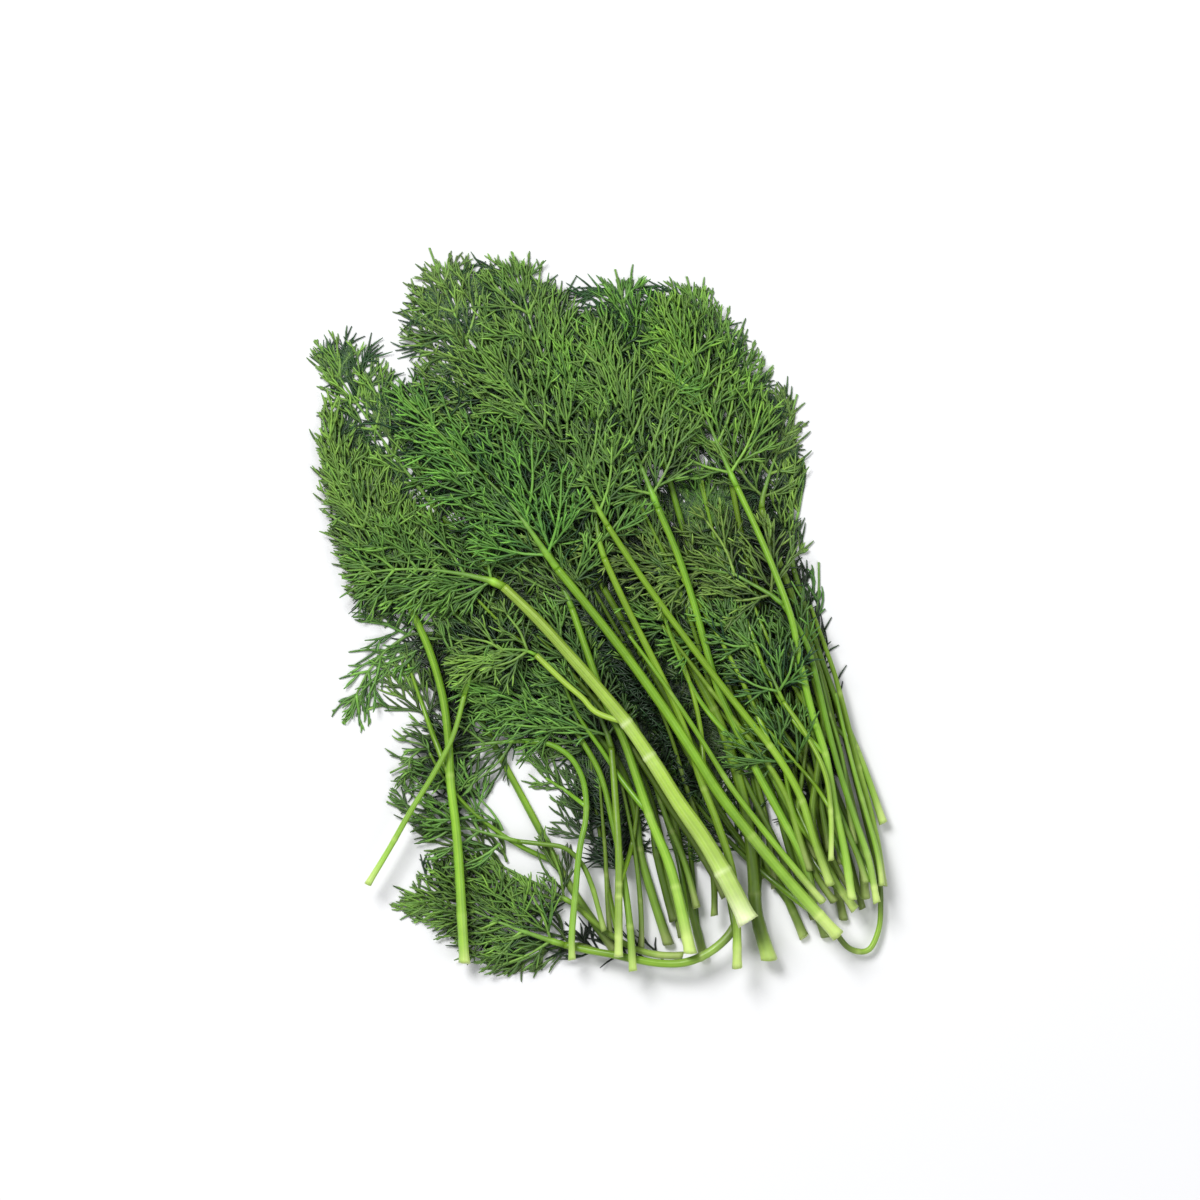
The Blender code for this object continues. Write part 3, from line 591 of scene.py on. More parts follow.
class Foliage:
    """The threads and ribs of one frond, gathered into one mesh."""

    def __init__(self, name, sizes, colours):
        self.chance = random.Random("threads of " + name)
        self.sizes = sizes
        self.leaf, self.tip, self.stalk = (np.array(colour) for colour in colours)
        self.tone = np.array([
            self.chance.uniform(0.84, 1.2), self.chance.uniform(0.88, 1.12), self.chance.uniform(0.85, 1.2)])
        self.forward = Vector((0, 1, 0))
        self.under = 0.0
        self.gaps = 0.0
        self.curl = 1.0
        self.arcs = {}
        self.lines = []

    def tint(self, youth):
        """A green between old leaf and young tip, a little different for every thread."""
        mix = min(max(youth + self.chance.uniform(-0.25, 0.25), 0), 1)
        return (self.leaf + (self.tip - self.leaf) * mix) * (self.tone * self.chance.uniform(0.78, 1.18))

    def comb(self, arc, strength):
        """Turns an arc some way towards the direction that the whole frond grows in."""
        arc.aim = (arc.aim + self.forward * strength).normalized()
        arc.side = (arc.side - arc.aim * arc.side.dot(arc.aim)).normalized()
        return arc

    def fits(self, arc):
        """Shortens an arc that reaches past the leaves' outline; false if it starts past it too."""
        for _ in range(4):
            if CANOPY.covers(arc.point(self.chance.uniform(0.72, 1.35))):
                return True
            arc.length *= 0.74
        return CANOPY.covers(arc.start)

    def thread(self, arc, thick, youth, shade=1.0, stations=5, sides=4):
        """Keeps an arc to be drawn as a thread, with painted light: lighter where it rises out of the leaf,
        darker where it dips into it.
        """
        # Painted light and shade: a thread that points up gets a lighter tint, one that points down a darker
        # one.
        painted_tilt_light = min(max(1 + 1.5 * arc.aim.z, 0.5), 1.5)
        self.arcs.setdefault((stations, sides), []).append((
            *arc.start, *arc.aim, *arc.side, arc.length, arc.bend, thick / 2, thick * 0.2,
            *(self.tint(youth) * shade * painted_tilt_light), self.under))

    def segments(self, rib, thick, youth, shade):
        """Leaf segments in pairs along a shoot, the longer ones forked."""
        chance = self.chance
        reach = self.sizes.segment / MM
        gap = self.sizes.segment_gap / MM
        first = 2.2 if rib.length > 6 else rib.length * 0.35
        count = max(1, int((rib.length - first) / gap + 0.6))
        for number in range(count):
            at = (first + number * gap) / rib.length
            for hand in (1, -1):
                if chance.random() < self.gaps:
                    continue
                share = min(at + hand * 0.04 + chance.uniform(-0.04, 0.04), 0.97)
                length = min(reach * (1.1 - 0.35 * at), rib.length * (1 - at) * 0.9 + 2.4)
                length = length * chance.uniform(0.78, 1.2)
                arc = forked(
                    rib, share, hand, math.radians(chance.uniform(20, 37)), length,
                    -hand * self.curl * chance.uniform(-0.1, 0.8), chance.uniform(-0.5, 0.5),
                    chance.uniform(-0.14, 0.2))
                if not self.fits(self.comb(arc, 0.12)):
                    continue
                self.thread(arc, thick, youth + 0.35 * at, shade)
                if arc.length > 4.2 and chance.random() < 0.6:
                    side = hand if chance.random() < 0.6 else -hand
                    twig = forked(
                        arc, chance.uniform(0.38, 0.55), side, math.radians(chance.uniform(22, 36)),
                        arc.length * chance.uniform(0.42, 0.58),
                        -side * self.curl * chance.uniform(-0.2, 0.7), 0, chance.uniform(-0.2, 0.2))
                    if self.fits(twig):
                        self.thread(twig, thick * 0.94, youth + 0.3 + 0.3 * at, shade, 4)

    def pinnule(self, path, share, hand, length, thick, youth, shade, angle):
        """A side shoot of a leaf, with its segments."""
        chance = self.chance
        arc = forked(
            path, share, hand, angle, length, -hand * self.curl * chance.uniform(0.05, 0.6),
            chance.uniform(-0.5, 0.5), chance.uniform(-0.24, 0.24))
        if not self.fits(self.comb(arc, 0.28)):
            return
        self.thread(arc, thick * 1.2, youth + 0.25, shade, 6)
        self.segments(arc, thick, youth + 0.1, shade)

    def side_leaf(self, rib, youth=0.15, shade=1.0):
        """Side shoots in pairs along a rib, shorter towards its tip, and a forked tip."""
        chance = self.chance
        thick = self.sizes.thread / MM
        gap = self.sizes.spacing / MM
        longest = self.sizes.shoot / MM * min(1, rib.length / 17) ** 0.6
        count = max(1, int((rib.length - 1) / gap))
        for number in range(count):
            at = (2.4 + number * gap) / rib.length
            if at > 0.96:
                break
            for hand in (1, -1):
                if chance.random() < self.gaps * 0.6:
                    continue
                length = min(longest * (1.05 - 0.4 * at), rib.length * (1 - at) * 1.05 + 3.2)
                length = length * chance.uniform(0.8, 1.15)
                self.pinnule(
                    rib, min(at + chance.uniform(-0.03, 0.03), 0.97), hand, length, thick,
                    youth + 0.3 * at, shade, math.radians(chance.uniform(34, 48) * (1.1 - 0.35 * at)))
        end = forked(rib, 0.98, 1, chance.uniform(-0.1, 0.1), 3.4, chance.uniform(-0.3, 0.3), 0, 0)
        self.thread(end, thick, youth + 0.4, shade, 5)
        self.segments(end, thick, youth + 0.5, shade)

    def rib_line(self, line, radii, tints, sides):
        """Keeps a line to be drawn as a rib."""
        self.lines.append((np.array(line), radii, tints, sides))

    def dark_shade_threads(self, paths, number, sink):
        """Dark threads low in the leaf, a painted shade which closes the view to what is under it."""
        chance = self.chance
        thick = self.sizes.thread / MM
        for _ in range(number):
            path = chance.choice(paths)
            share = chance.uniform(0.05, 0.85)
            hand = chance.choice((1, -1))
            arc = forked(
                path, share, hand, math.radians(chance.uniform(8, 75)), chance.uniform(7, 13),
                chance.uniform(-0.7, 0.7), chance.uniform(-0.4, 0.4), 0)
            bare = arc.start.y < 20 and CANOPY.height(np.array(arc.point(1))) < 2.4
            if bare or not CANOPY.covers(arc.point(1.35)):
                continue
            drop = min(chance.uniform(*sink), max(arc.start.z - 0.6, 0))
            arc.aim = (arc.aim + Vector((0, 0, -drop / arc.length))).normalized()
            arc.start = arc.start - Vector((0, 0, drop * 0.5))
            # Painted shade: these threads take the dark tint of the depths.
            self.thread(arc, thick * 1.3, 0.1, DEEP_SHADE, 4, 3)
            for at in (0.35, 0.6):
                twig = forked(
                    arc, at, chance.choice((1, -1)), math.radians(chance.uniform(22, 40)),
                    chance.uniform(3.5, 6), chance.uniform(-0.4, 0.4), 0, 0)
                self.thread(twig, thick * 1.1, 0.1, DEEP_SHADE * 1.15, 3, 3)

    def mesh(self, name):
        """All the threads and ribs as one mesh, above the surface and under what lies over them."""
        shapes = []
        for (stations, sides), items in self.arcs.items():
            values = np.array(items)
            start, aim, side = values[:, None, 0:3], values[:, None, 3:6], values[:, None, 6:9]
            length, bend, root, tip, under = (values[:, column, None] for column in (9, 10, 11, 12, 16))
            share = np.linspace(0, 1, stations)[None, :]
            turn = bend * share
            reach = (length / bend)[..., None]
            lines = start + (aim * np.sin(turn)[..., None] + side * (1 - np.cos(turn))[..., None]) * reach
            ceiling = np.where(under > 0, CANOPY.ceiling(lines, under), CANOPY.sky)
            lines[..., 2] = np.maximum(np.minimum(lines[..., 2], ceiling), LOWEST_THREAD)
            radii = root + (tip - root) * share**3
            shade = values[:, None, 13:16] * (0.94 + 0.14 * share[..., None])
            # Painted shade: threads deep under the top of the bunch get a darker tint.
            shade = shade * CANOPY.light(lines)[..., None]
            shapes.append(tubes(lines, radii, shade, sides))
        for line, radii, shade, sides in self.lines:
            lines = line[None].copy()
            lines[..., 2] = np.maximum(lines[..., 2], LOWEST_RIB)
            # Painted shade on the ribs too: darker deep under the top of the bunch.
            shade = (shade * CANOPY.light(lines)[0][:, None])[None]
            shapes.append(tubes(lines, radii[None], shade, sides))
        corners, blocks, tints = join_shapes(shapes)
        corners[:, 2] = np.maximum(corners[:, 2], ABOVE_FLOOR)
        return make_mesh(name, corners, blocks, tints)


def place_piece(name, mesh, material, node):
    """Links a piece, which stands for its solid and takes its finish from the slot."""
    piece = bpy.data.objects.new(name, mesh)
    bpy.context.scene.collection.objects.link(piece)
    mesh.materials.append(material)
    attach(piece, "root")
    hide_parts(node)
    return piece


# Stalks


class Stalk:
    """A ribbed stalk with a slanting pale cut end and pale swollen joints."""

    def __init__(self, line, radii, chance, colours, ribs=9, joints=(), slant=0.25, cut=True):
        self.chance = chance
        self.length = line_length(line)
        self.count = max(14, int(self.length / 1.1))
        self.middle = smooth_line(line, self.count)
        self.share = np.linspace(0, 1, self.count)
        self.distance = self.share * self.length
        self.radius = np.interp(self.share, np.linspace(0, 1, len(radii)), radii)
        self.deep, self.pale, self.white = (np.array(colour) for colour in colours)
        self.ribs = ribs
        self.sides = ribs * 3
        self.slant = slant
        self.cut = cut
        self.joints = [joint * self.length for joint in joints]

    def widths(self):
        """The radius at each ring: a slight waviness, a flared cut end and swollen joints."""
        wave = 1 + 0.02 * np.sin(self.distance * 0.35 + self.chance.uniform(0, 6))
        flare = 1 + (0.14 * np.exp(-((self.distance / 1.6) ** 2)) if self.cut else 0)
        for joint in self.joints:
            flare = flare + 0.08 * np.exp(-(((self.distance - joint) / 0.8) ** 2))
        return self.radius * wave * flare

    def tints(self, stripe, corners, turn):
        chance = self.chance
        distance = self.distance[:, None]
        wave = 0.5 + 0.5 * np.sin(distance * 0.09 + chance.uniform(0, 6))
        base = self.deep * (0.9 + 0.14 * wave[..., None])
        # Every joint starts a stretch of a slightly different green.
        for joint in self.joints:
            below = 1 / (1 + np.exp((distance - joint) / 0.6))
            base = base * (1 + chance.uniform(0.02, 0.16) * below[..., None])
        base = base + (self.pale - base) * (0.55 * np.clip(stripe, 0, 1) ** 1.5)[None, :, None]
        base = base * (1 - 0.28 * np.clip(-stripe, 0, 1))[None, :, None]
        pale = 0.0 * distance
        if self.cut:
            pale = pale + 0.85 * np.exp(-((distance / (3.5 + 4 * chance.random())) ** 2))
            pale = pale + 0.3 * np.exp(-distance / 20)
        for joint in self.joints:
            pale = pale + 0.5 * np.exp(-(((distance - joint) / 0.4) ** 2))
            pale = pale + 0.14 * np.exp(-np.abs(distance - joint + 2) / 3)
        pale = pale * (1 + 0.35 * np.cos(turn + chance.uniform(0, 6)))
        base = base + (self.white - base) * np.clip(0.85 * pale, 0, 0.9)[..., None]
        base = base * (1 - 0.15 * self.share**2)[:, None, None]
        # Painted shade: the stalk's tint is darker where it lies deep under the top of the bunch.
        return base * CANOPY.light(corners)[..., None]

    def shape(self):
        """Corners, blocks of faces and tints."""
        chance = self.chance
        sides = self.sides
        angles = np.linspace(0, 2 * math.pi, sides, endpoint=False)
        ahead = np.gradient(self.middle, axis=0)
        ahead /= np.linalg.norm(ahead, axis=1, keepdims=True)
        side = np.cross(ahead, (0, 0, 1))
        side /= np.linalg.norm(side, axis=1, keepdims=True)
        over = np.cross(side, ahead)
        turn = angles[None, :] + chance.uniform(-0.5, 0.5) * self.share[:, None] + chance.uniform(0, 6)
        rib = np.cos(angles * self.ribs)
        tones = np.repeat([chance.uniform(-0.8, 1) for _ in range(self.ribs)], 3)
        skin = self.widths()[:, None] * (0.965 + 0.035 * rib[None, :])
        corners = self.middle[:, None, :] + skin[..., None] * (
            side[:, None, :] * np.cos(turn)[..., None] + over[:, None, :] * np.sin(turn)[..., None])
        tints = self.tints(0.45 * rib + 0.75 * tones, corners, turn)
        if self.cut:
            tilt, lean = (self.slant * chance.uniform(-1, 1) for _ in range(2))
            ragged = np.array([chance.uniform(-0.05, 0.05) for _ in range(sides)])
            across = np.cos(turn[0]) * tilt + np.sin(turn[0]) * lean + ragged
            corners[0] += ahead[0] * (across * self.radius[0])[:, None]
        number = np.arange(self.count * sides).reshape(self.count, sides)
        blocks = [between(number[:-1], number[1:]), number[-1][None, :]]
        corners = [corners.reshape(-1, 3)]
        tints = [tints.reshape(-1, 3)]
        # The cut face: a pale rim, a greener ring and a spongy pale middle, slightly sunk.
        rim = corners[0][:sides]
        centre = rim.mean(axis=0)
        outer = number[0]
        for inset, sink, tone in ((0.86, 0.02, 1.0), (0.66, 0.1, 0.86), (0.3, 0.22, 1.03)):
            corners.append(centre + (rim - centre) * inset + ahead[0] * sink * self.radius[0])
            tints.append(np.tile(self.white * tone, (sides, 1)))
            inner = np.arange(sides) + sum(len(part) for part in corners[:-1])
            blocks.append(np.stack([np.roll(outer, -1), outer, inner, np.roll(inner, -1)], axis=-1))
            outer = inner
        blocks.append(outer[::-1][None, :])
        corners = np.vstack(corners)
        corners[:, 2] = np.maximum(corners[:, 2], LOWEST_SKIN)
        return corners, blocks, np.vstack(tints)


# Leaf stalks, which leave a stalk at a joint and end in a leaf


def leaf_stalk_line(line, start, end, offset, low, under, root=0.0):
    """A line beside a stalk's, from one share of its length to another, that sinks to a height.

    It stays this deep under the top of the bunch. It starts at the stalk, or beside it at a share of
    the offset, its root.
    """
    rib = Rib(smooth_line(line, 80))
    points = []
    for step in range(LEAF_STALK_STEPS + 1):
        part = step / LEAF_STALK_STEPS
        share = start + (end - start) * part
        away = root + (1 - root) * (1 - (1 - part) ** 2.2)
        sink = 1 if root else min(part / 0.35, 1)
        sink = sink * sink * (3 - 2 * sink)
        point = rib.point(share) + rib.left(share) * (offset * away)
        point.z += (low - point.z) * sink
        point.z += min(float(CANOPY.height(np.array(point))) - under - point.z, 0) * sink
        point.z = max(point.z, LOWEST_LEAF_STALK)
        points.append(tuple(point))
    return np.array(points)


def grow_spray(foliage, line, youth, shade, under):
    """Side leaves in pairs along the last part of a leaf stalk, this deep under the top of the bunch."""
    chance = foliage.chance
    rib = Rib(line)
    foliage.under = under
    foliage.forward = rib.ahead(0.7)
    pairs = max(2, int(rib.length * (1 - SPRAY_START) / SPRAY_STEP))
    for number in range(pairs):
        at = SPRAY_START + 0.44 * number / pairs
        for hand in (1, -1):
            length = chance.uniform(11, 17) * (1 - 0.4 * number / pairs)
            arc = forked(
                rib, at + chance.uniform(-0.02, 0.02), hand, math.radians(chance.uniform(36, 54)), length,
                -hand * chance.uniform(0.2, 0.6), chance.uniform(-0.4, 0.4), chance.uniform(-0.05, 0.16))
            if foliage.fits(arc):
                foliage.thread(arc, foliage.sizes.thread / MM * 1.4, youth + 0.2, shade, 6, 5)
                foliage.side_leaf(arc, youth, shade)
    foliage.side_leaf(Rib(line[-6:]), youth, shade)


# Materials


def surface_of(name, roughness):
    """A new material with its node tree and its surface."""
    material = bpy.data.materials.new(name)
    material.use_nodes = True
    tree = material.node_tree
    surface = tree.nodes["Principled BSDF"]
    surface.inputs["Roughness"].default_value = roughness
    return material, tree, surface


def link_noise(tree, scale, detail, low, high):
    """A noise in object space, mapped to the range from low to high, and the noise itself."""
    place = tree.nodes.new("ShaderNodeTexCoord")
    noise = tree.nodes.new("ShaderNodeTexNoise")
    noise.inputs["Scale"].default_value = scale
    noise.inputs["Detail"].default_value = detail
    tree.links.new(place.outputs["Object"], noise.inputs["Vector"])
    spread = tree.nodes.new("ShaderNodeMapRange")
    spread.inputs["From Min"].default_value = 0.3
    spread.inputs["From Max"].default_value = 0.7
    spread.inputs["To Min"].default_value = low
    spread.inputs["To Max"].default_value = high
    tree.links.new(noise.outputs["Fac"], spread.inputs["Value"])
    return spread.outputs["Result"], noise.outputs["Fac"]


def tinted(tree, surface, scale, low, high):
    """Base colour from the mesh's tint, mottled by a noise."""
    tint = tree.nodes.new("ShaderNodeAttribute")
    tint.attribute_name = "tint"
    mottle, _ = link_noise(tree, scale, 3, low, high)
    blend = tree.nodes.new("ShaderNodeVectorMath")
    blend.operation = "SCALE"
    tree.links.new(tint.outputs["Color"], blend.inputs[0])
    tree.links.new(mottle, blend.inputs["Scale"])
    tree.links.new(blend.outputs["Vector"], surface.inputs["Base Color"])


def rough_and_bumpy(tree, surface, scale, low, high, depth):
    """Roughness between low and high, and a fine bump of this depth in metres."""
    rough, _ = link_noise(tree, scale, 2, low, high)
    tree.links.new(rough, surface.inputs["Roughness"])
    _, height = link_noise(tree, scale * 1.7, 4, 0, 1)
    bump = tree.nodes.new("ShaderNodeBump")
    bump.inputs["Strength"].default_value = 0.5
    bump.inputs["Distance"].default_value = depth
    tree.links.new(height, bump.inputs["Height"])
    tree.links.new(bump.outputs["Normal"], surface.inputs["Normal"])


def let_light_in(surface, weight, reaches, scale):
    """Lets light pass some way under the surface, this far for red, green and blue."""
    surface.inputs["Subsurface Weight"].default_value = weight
    surface.inputs["Subsurface Radius"].default_value = reaches
    surface.inputs["Subsurface Scale"].default_value = scale


def frond_material():
    material, tree, surface = surface_of("dill leaf", 0.5)
    tinted(tree, surface, 260, 0.78, 1.2)
    rough_and_bumpy(tree, surface, 900, 0.4, 0.6, 0.00008)
    let_light_in(surface, 0.12, (0.4, 1.0, 0.15), 0.0006)
    return material


def stalk_material():
    material, tree, surface = surface_of("dill stalk", 0.36)
    tinted(tree, surface, 140, 0.9, 1.1)
    rough_and_bumpy(tree, surface, 700, 0.28, 0.46, 0.00006)
    let_light_in(surface, 0.15, (0.8, 1.0, 0.3), 0.0012)
    return material


def floor_material(colour):
    material, tree, surface = surface_of("pale floor", 0.6)
    place = tree.nodes.new("ShaderNodeTexCoord")
    noise = tree.nodes.new("ShaderNodeTexNoise")
    noise.inputs["Scale"].default_value = 3
    tree.links.new(place.outputs["Object"], noise.inputs["Vector"])
    ramp = tree.nodes.new("ShaderNodeValToRGB")
    ramp.color_ramp.elements[0].color = (*[value * 0.97 for value in colour], 1)
    ramp.color_ramp.elements[1].color = (*colour, 1)
    tree.links.new(noise.outputs["Fac"], ramp.inputs["Fac"])
    tree.links.new(ramp.outputs["Color"], surface.inputs["Base Color"])
    return material


# Settings that a user would change


def length_setting(name, description, default):
    return bpy.props.FloatProperty(name=name, description=description, default=default, unit="LENGTH")


def colour_setting(name, description, default):
    return bpy.props.FloatVectorProperty(
        name=name, description=description, default=default, subtype="COLOR")


class DillSizes(bpy.types.PropertyGroup):
    thread: length_setting("Thread", "Width of a leaf thread at its root", 0.00062)
    shoot: length_setting("Side shoot", "Length of the longest side shoot of a side leaf", 0.0135)
    spacing: length_setting("Spacing", "Distance between the side shoots of a side leaf", 0.0057)
    segment: length_setting("Segment", "Length of the leaf segments of a side shoot", 0.0074)
    segment_gap: length_setting("Segment gap", "Distance between the segments of a side shoot", 0.0037)
    ribs: bpy.props.IntProperty(name="Ribs", description="Ribs round a stalk", default=9, min=5, max=14)


class DillColours(bpy.types.PropertyGroup):
    leaf: colour_setting("Leaf", "Green of full-grown threads", (0.027, 0.087, 0.020))
    tip: colour_setting("Tip", "Green of young threads", (0.140, 0.290, 0.042))
    stalk: colour_setting("Stalk", "Green of a stalk", (0.21, 0.42, 0.022))
    stripe: colour_setting("Stripe", "Light green of a stalk's ribs", (0.37, 0.58, 0.055))
    cut: colour_setting("Cut end", "Pale green of cut ends and joints", (0.56, 0.71, 0.21))
    joint: colour_setting("Joint", "Colour of the thick stem's joints", (0.80, 0.88, 0.52))
    floor: colour_setting("Floor", "Colour of the surface under the bunch", (0.80, 0.80, 0.81))


def settings():
    return bpy.context.scene.dill_sizes, bpy.context.scene.dill_colours


def stalk_colours(name, colours):
    """A stalk's green, its light stripe and its pale end, each stalk's green a little its own."""
    chance = random.Random("colour of " + name)
    fresh = chance.uniform(0.72, 1.08)
    warm = chance.uniform(0.86, 1.12)
    green = np.array([colours.stalk[0] * warm, colours.stalk[1], colours.stalk[2]]) * fresh
    stripe = np.array(colours.stripe) * (0.5 + 0.5 * fresh)
    return green, stripe, np.array(colours.cut)


# The leaf stalks low in the bunch, and those near its top: the stalk that each leaves, the share of that
# stalk where it leaves, the share where it ends, how far to the left in mm, and its height in mm.
LOW_LEAVES = (
    ("top_centre", 0.06, 0.60, -5, 2.0),
    ("top_right", 0.05, 0.62, 5, 2.5),
    ("top_middle", 0.07, 0.58, -4, 1.8),
    ("right_high", 0.05, 0.66, 5, 3.0),
    ("side_right", 0.08, 0.96, 7, 2.2),
    ("side_upper", 0.05, 0.72, 6, 2.4),
    ("centre_up", 0.05, 0.66, 5, 2.0),
    ("right_top", 0.06, 0.56, 6, 2.6),
    ("centre_right", 0.06, 0.60, -5, 2.4),
    ("centre_top", 0.08, 0.62, 5, 3.0),
    ("long_stem", 0.06, 0.50, 7, 3.4),
    ("top_left", 0.05, 0.55, 5, 2.0),
    ("centre_low", 0.04, 0.72, -5, 1.8),
    ("inner_middle", 0.10, 0.98, 6, 1.6),
    ("left_high", 0.05, 0.52, -5, 1.6),
    ("top_middle", 0.06, 0.84, -7, 1.6),
    ("right_high", 0.10, 0.90, 8, 2.4),
)
HIGH_LEAVES = (
    ("left_high", 0.50, 0.86, 8, 3.5),
    ("left_low", 0.46, 0.84, -8, 3.0),
    ("top_left", 0.44, 0.86, 8, 4.5),
    ("top_centre", 0.46, 0.86, -9, 5.0),
    ("top_right", 0.46, 0.95, 8, 5.0),
    ("top_middle", 0.45, 0.92, -8, 5.0),
    ("right_high", 0.36, 0.80, 11, 7.0),
    ("right_middle", 0.30, 0.86, 9, 5.0),
    ("side_right", 0.30, 0.90, 12, 7.0),
    ("centre_low", 0.40, 0.84, 9, 5.0),
    ("centre_up", 0.42, 0.88, -8, 6.0),
    ("right_top", 0.34, 0.74, 12, 8.0),
    ("centre_right", 0.38, 0.80, 9, 7.0),
    ("centre_top", 0.36, 0.84, -9, 8.0),
    ("fork_right", 0.30, 0.98, 8, 8.0),
    ("long_left", 0.52, 0.86, 7, 2.0),
    ("side_arch", 0.60, 0.82, 9, 2.0),
    ("fallen_left", 0.30, 0.74, 17, 4.0),
    ("inner_middle", 0.35, 0.95, -7, 3.0),
)

# The stalks of the thick bundle, which have one more lying beside them, and those that have two. The others
# lie about this far beside them, and this deep under the top of the bunch.
BUNDLE = (
    "inner_left", "inner_middle", "left_low", "left_high", "centre_low", "centre_up", "top_centre",
    "top_left", "top_middle", "top_right", "centre_right", "centre_top", "right_top", "side_right",
    "side_upper", "right_high", "long_stem", "thick_stem")
DENSEST = (
    "centre_right", "centre_top", "right_top", "side_right", "side_upper", "right_high", "top_right",
    "top_middle")
BESIDE = 3.2
BESIDE_DEPTH = 1.2

# The stalks whose sprays arch over the heap, and the fronds that lie open, with no dark threads of painted
# shade in them.
ARCHING = ("fork_right",)
OPEN_FRONDS = ("side_arch", "side_low", "low_up", "thin_left", "right_low", "low_down", "fallen_left")


def leaf_stalks_of(name, line):
    """The leaf stalks that leave a stalk: where each does, its line, its light and its depth."""
    high_depth = 0.0 if name in ARCHING else HIGH_DEPTH
    layers = ((LOW_LEAVES, LOW_LIGHT, LOW_DEPTH), (HIGH_LEAVES, HIGH_LIGHT, high_depth))
    return [
        (place[0], leaf_stalk_line(line, *place, under), light, under)
        for leaves, light, under in layers for stalk, *place in leaves if stalk == name]


def stalk_beside(name, line, hand):
    """The line of a stalk that lies beside one of the bundle's, to its left (1) or right (-1)."""
    chance = random.Random(f"stalk beside {name} {hand}")
    height = max(line[len(line) // 2][2] * chance.uniform(0.4, 0.95), 1.4)
    start, end = chance.uniform(0.0, 0.13), chance.uniform(0.5, 0.85)
    offset = hand * BESIDE * chance.uniform(0.8, 1.5)
    return leaf_stalk_line(line, start, end, offset, height, BESIDE_DEPTH, chance.uniform(0.4, 1.6))


# Operators


def dress_stalk(name, ribs, colours):
    """The shapes of one stalk, of the leaf stalks that leave it and of the stalks beside it."""
    line, radii = stalk_line(name)
    greens = stalk_colours(name, colours)
    chance = random.Random("stalk " + name)
    lines = leaf_stalks_of(name, line)
    joints = [share for share, *_ in lines] + [chance.uniform(0.12, 0.3)]
    stalk = Stalk(line, radii, chance, greens, ribs, joints, 0.25)
    return [stalk.shape()] + other_stalks(name, line, radii, lines, greens, chance)


def other_stalks(name, line, radii, lines, greens, chance):
    """The shapes of the leaf stalks that leave a stalk and of the stalks that lie beside it."""
    shapes = []
    for _, leaf_line, light, _ in lines:
        leaf_radii = np.linspace(radii[-1] * 0.95, 0.4, 6)
        # Painted shade: a leaf stalk low in the bunch gets a darker green.
        shaded_greens = [green * (0.45 + 0.55 * light) for green in greens]
        shapes.append(Stalk(leaf_line, leaf_radii, chance, shaded_greens, 5, (), 0, False).shape())
    hands = ()
    if name in BUNDLE:
        hands = (1, -1) if name in DENSEST else (1 if BUNDLE.index(name) % 2 else -1,)
    for hand in hands:
        beside = stalk_beside(name, line, hand)
        # Painted shade: a stalk beside is darker by a random share, as one lying in the shade behind.
        light = chance.uniform(0.65, 1.0)
        width = min(radii[0], 1.5) * chance.uniform(0.7, 0.95)
        shaded_greens = [green * light for green in greens]
        joints = (chance.uniform(0.15, 0.5), chance.uniform(0.55, 0.9))
        stalk = Stalk(beside, np.linspace(width, width * 0.45, 6), chance, shaded_greens, 7, joints, 0.2)
        shapes.append(stalk.shape())
    return shapes


class DILL_OT_stalks(bpy.types.Operator):
    """Replace the solids of the stalks, but for the thick stem, with ribbed stalks"""

    bl_idname = "dill.stalks"
    bl_label = "Dress the stalks"

    def execute(self, context):
        sizes, colours = settings()
        material = stalk_material()
        for name in SPRIGS:
            if name != "thick_stem":
                mesh = make_mesh(name, *join_shapes(dress_stalk(name, sizes.ribs, colours)))
                place_piece(name + "_stalk", mesh, material, "stalk_" + name)
        return {"FINISHED"}


class DILL_OT_thick_stem(bpy.types.Operator):
    """Replace the solid of the thick stem with a jointed stem and its side branch"""

    bl_idname = "dill.thick_stem"
    bl_label = "Dress the thick stem"

    def execute(self, context):
        sizes, colours = settings()
        chance = random.Random("thick stem")
        line, radii = stalk_line("thick_stem")
        fine = smooth_line(line, STEM_STATIONS)
        nearest = np.linalg.norm(fine[:, :2] - in_frame(BRANCH_FROM), axis=1).argmin()
        fork = nearest / (STEM_STATIONS - 1)
        length = line_length(fine)
        joints = (LOW_JOINT / length, fork - JOINT_STEP / length, fork)
        light = [np.array(colours.stripe) * 0.85, np.array(colours.cut) * 0.85, np.array(colours.joint)]
        stem = Stalk(line, radii, chance, light, sizes.ribs + 5, joints, 0.15)
        branch_plan = in_frame(smooth(BRANCH_ROUTE, 5.5, None, BRANCH_FROND[1]))
        branch_line = lifted(branch_plan, Solid("stalk_thick_stem"), 1.1)
        branch_line = np.vstack([fine[nearest], branch_line[1:]])
        branch = Stalk(
            branch_line, np.full(4, BRANCH_WIDTH / 2), chance, light, sizes.ribs - 2, (), 0, False)
        shapes = [stem.shape(), branch.shape()]
        greens = stalk_colours("thick_stem", colours)
        shapes += other_stalks("thick_stem", line, radii, [], greens, chance)
        mesh = make_mesh("thick_stem", *join_shapes(shapes))
        place_piece("thick_stem_stalk", mesh, stalk_material(), "stalk_thick_stem")
        return {"FINISHED"}


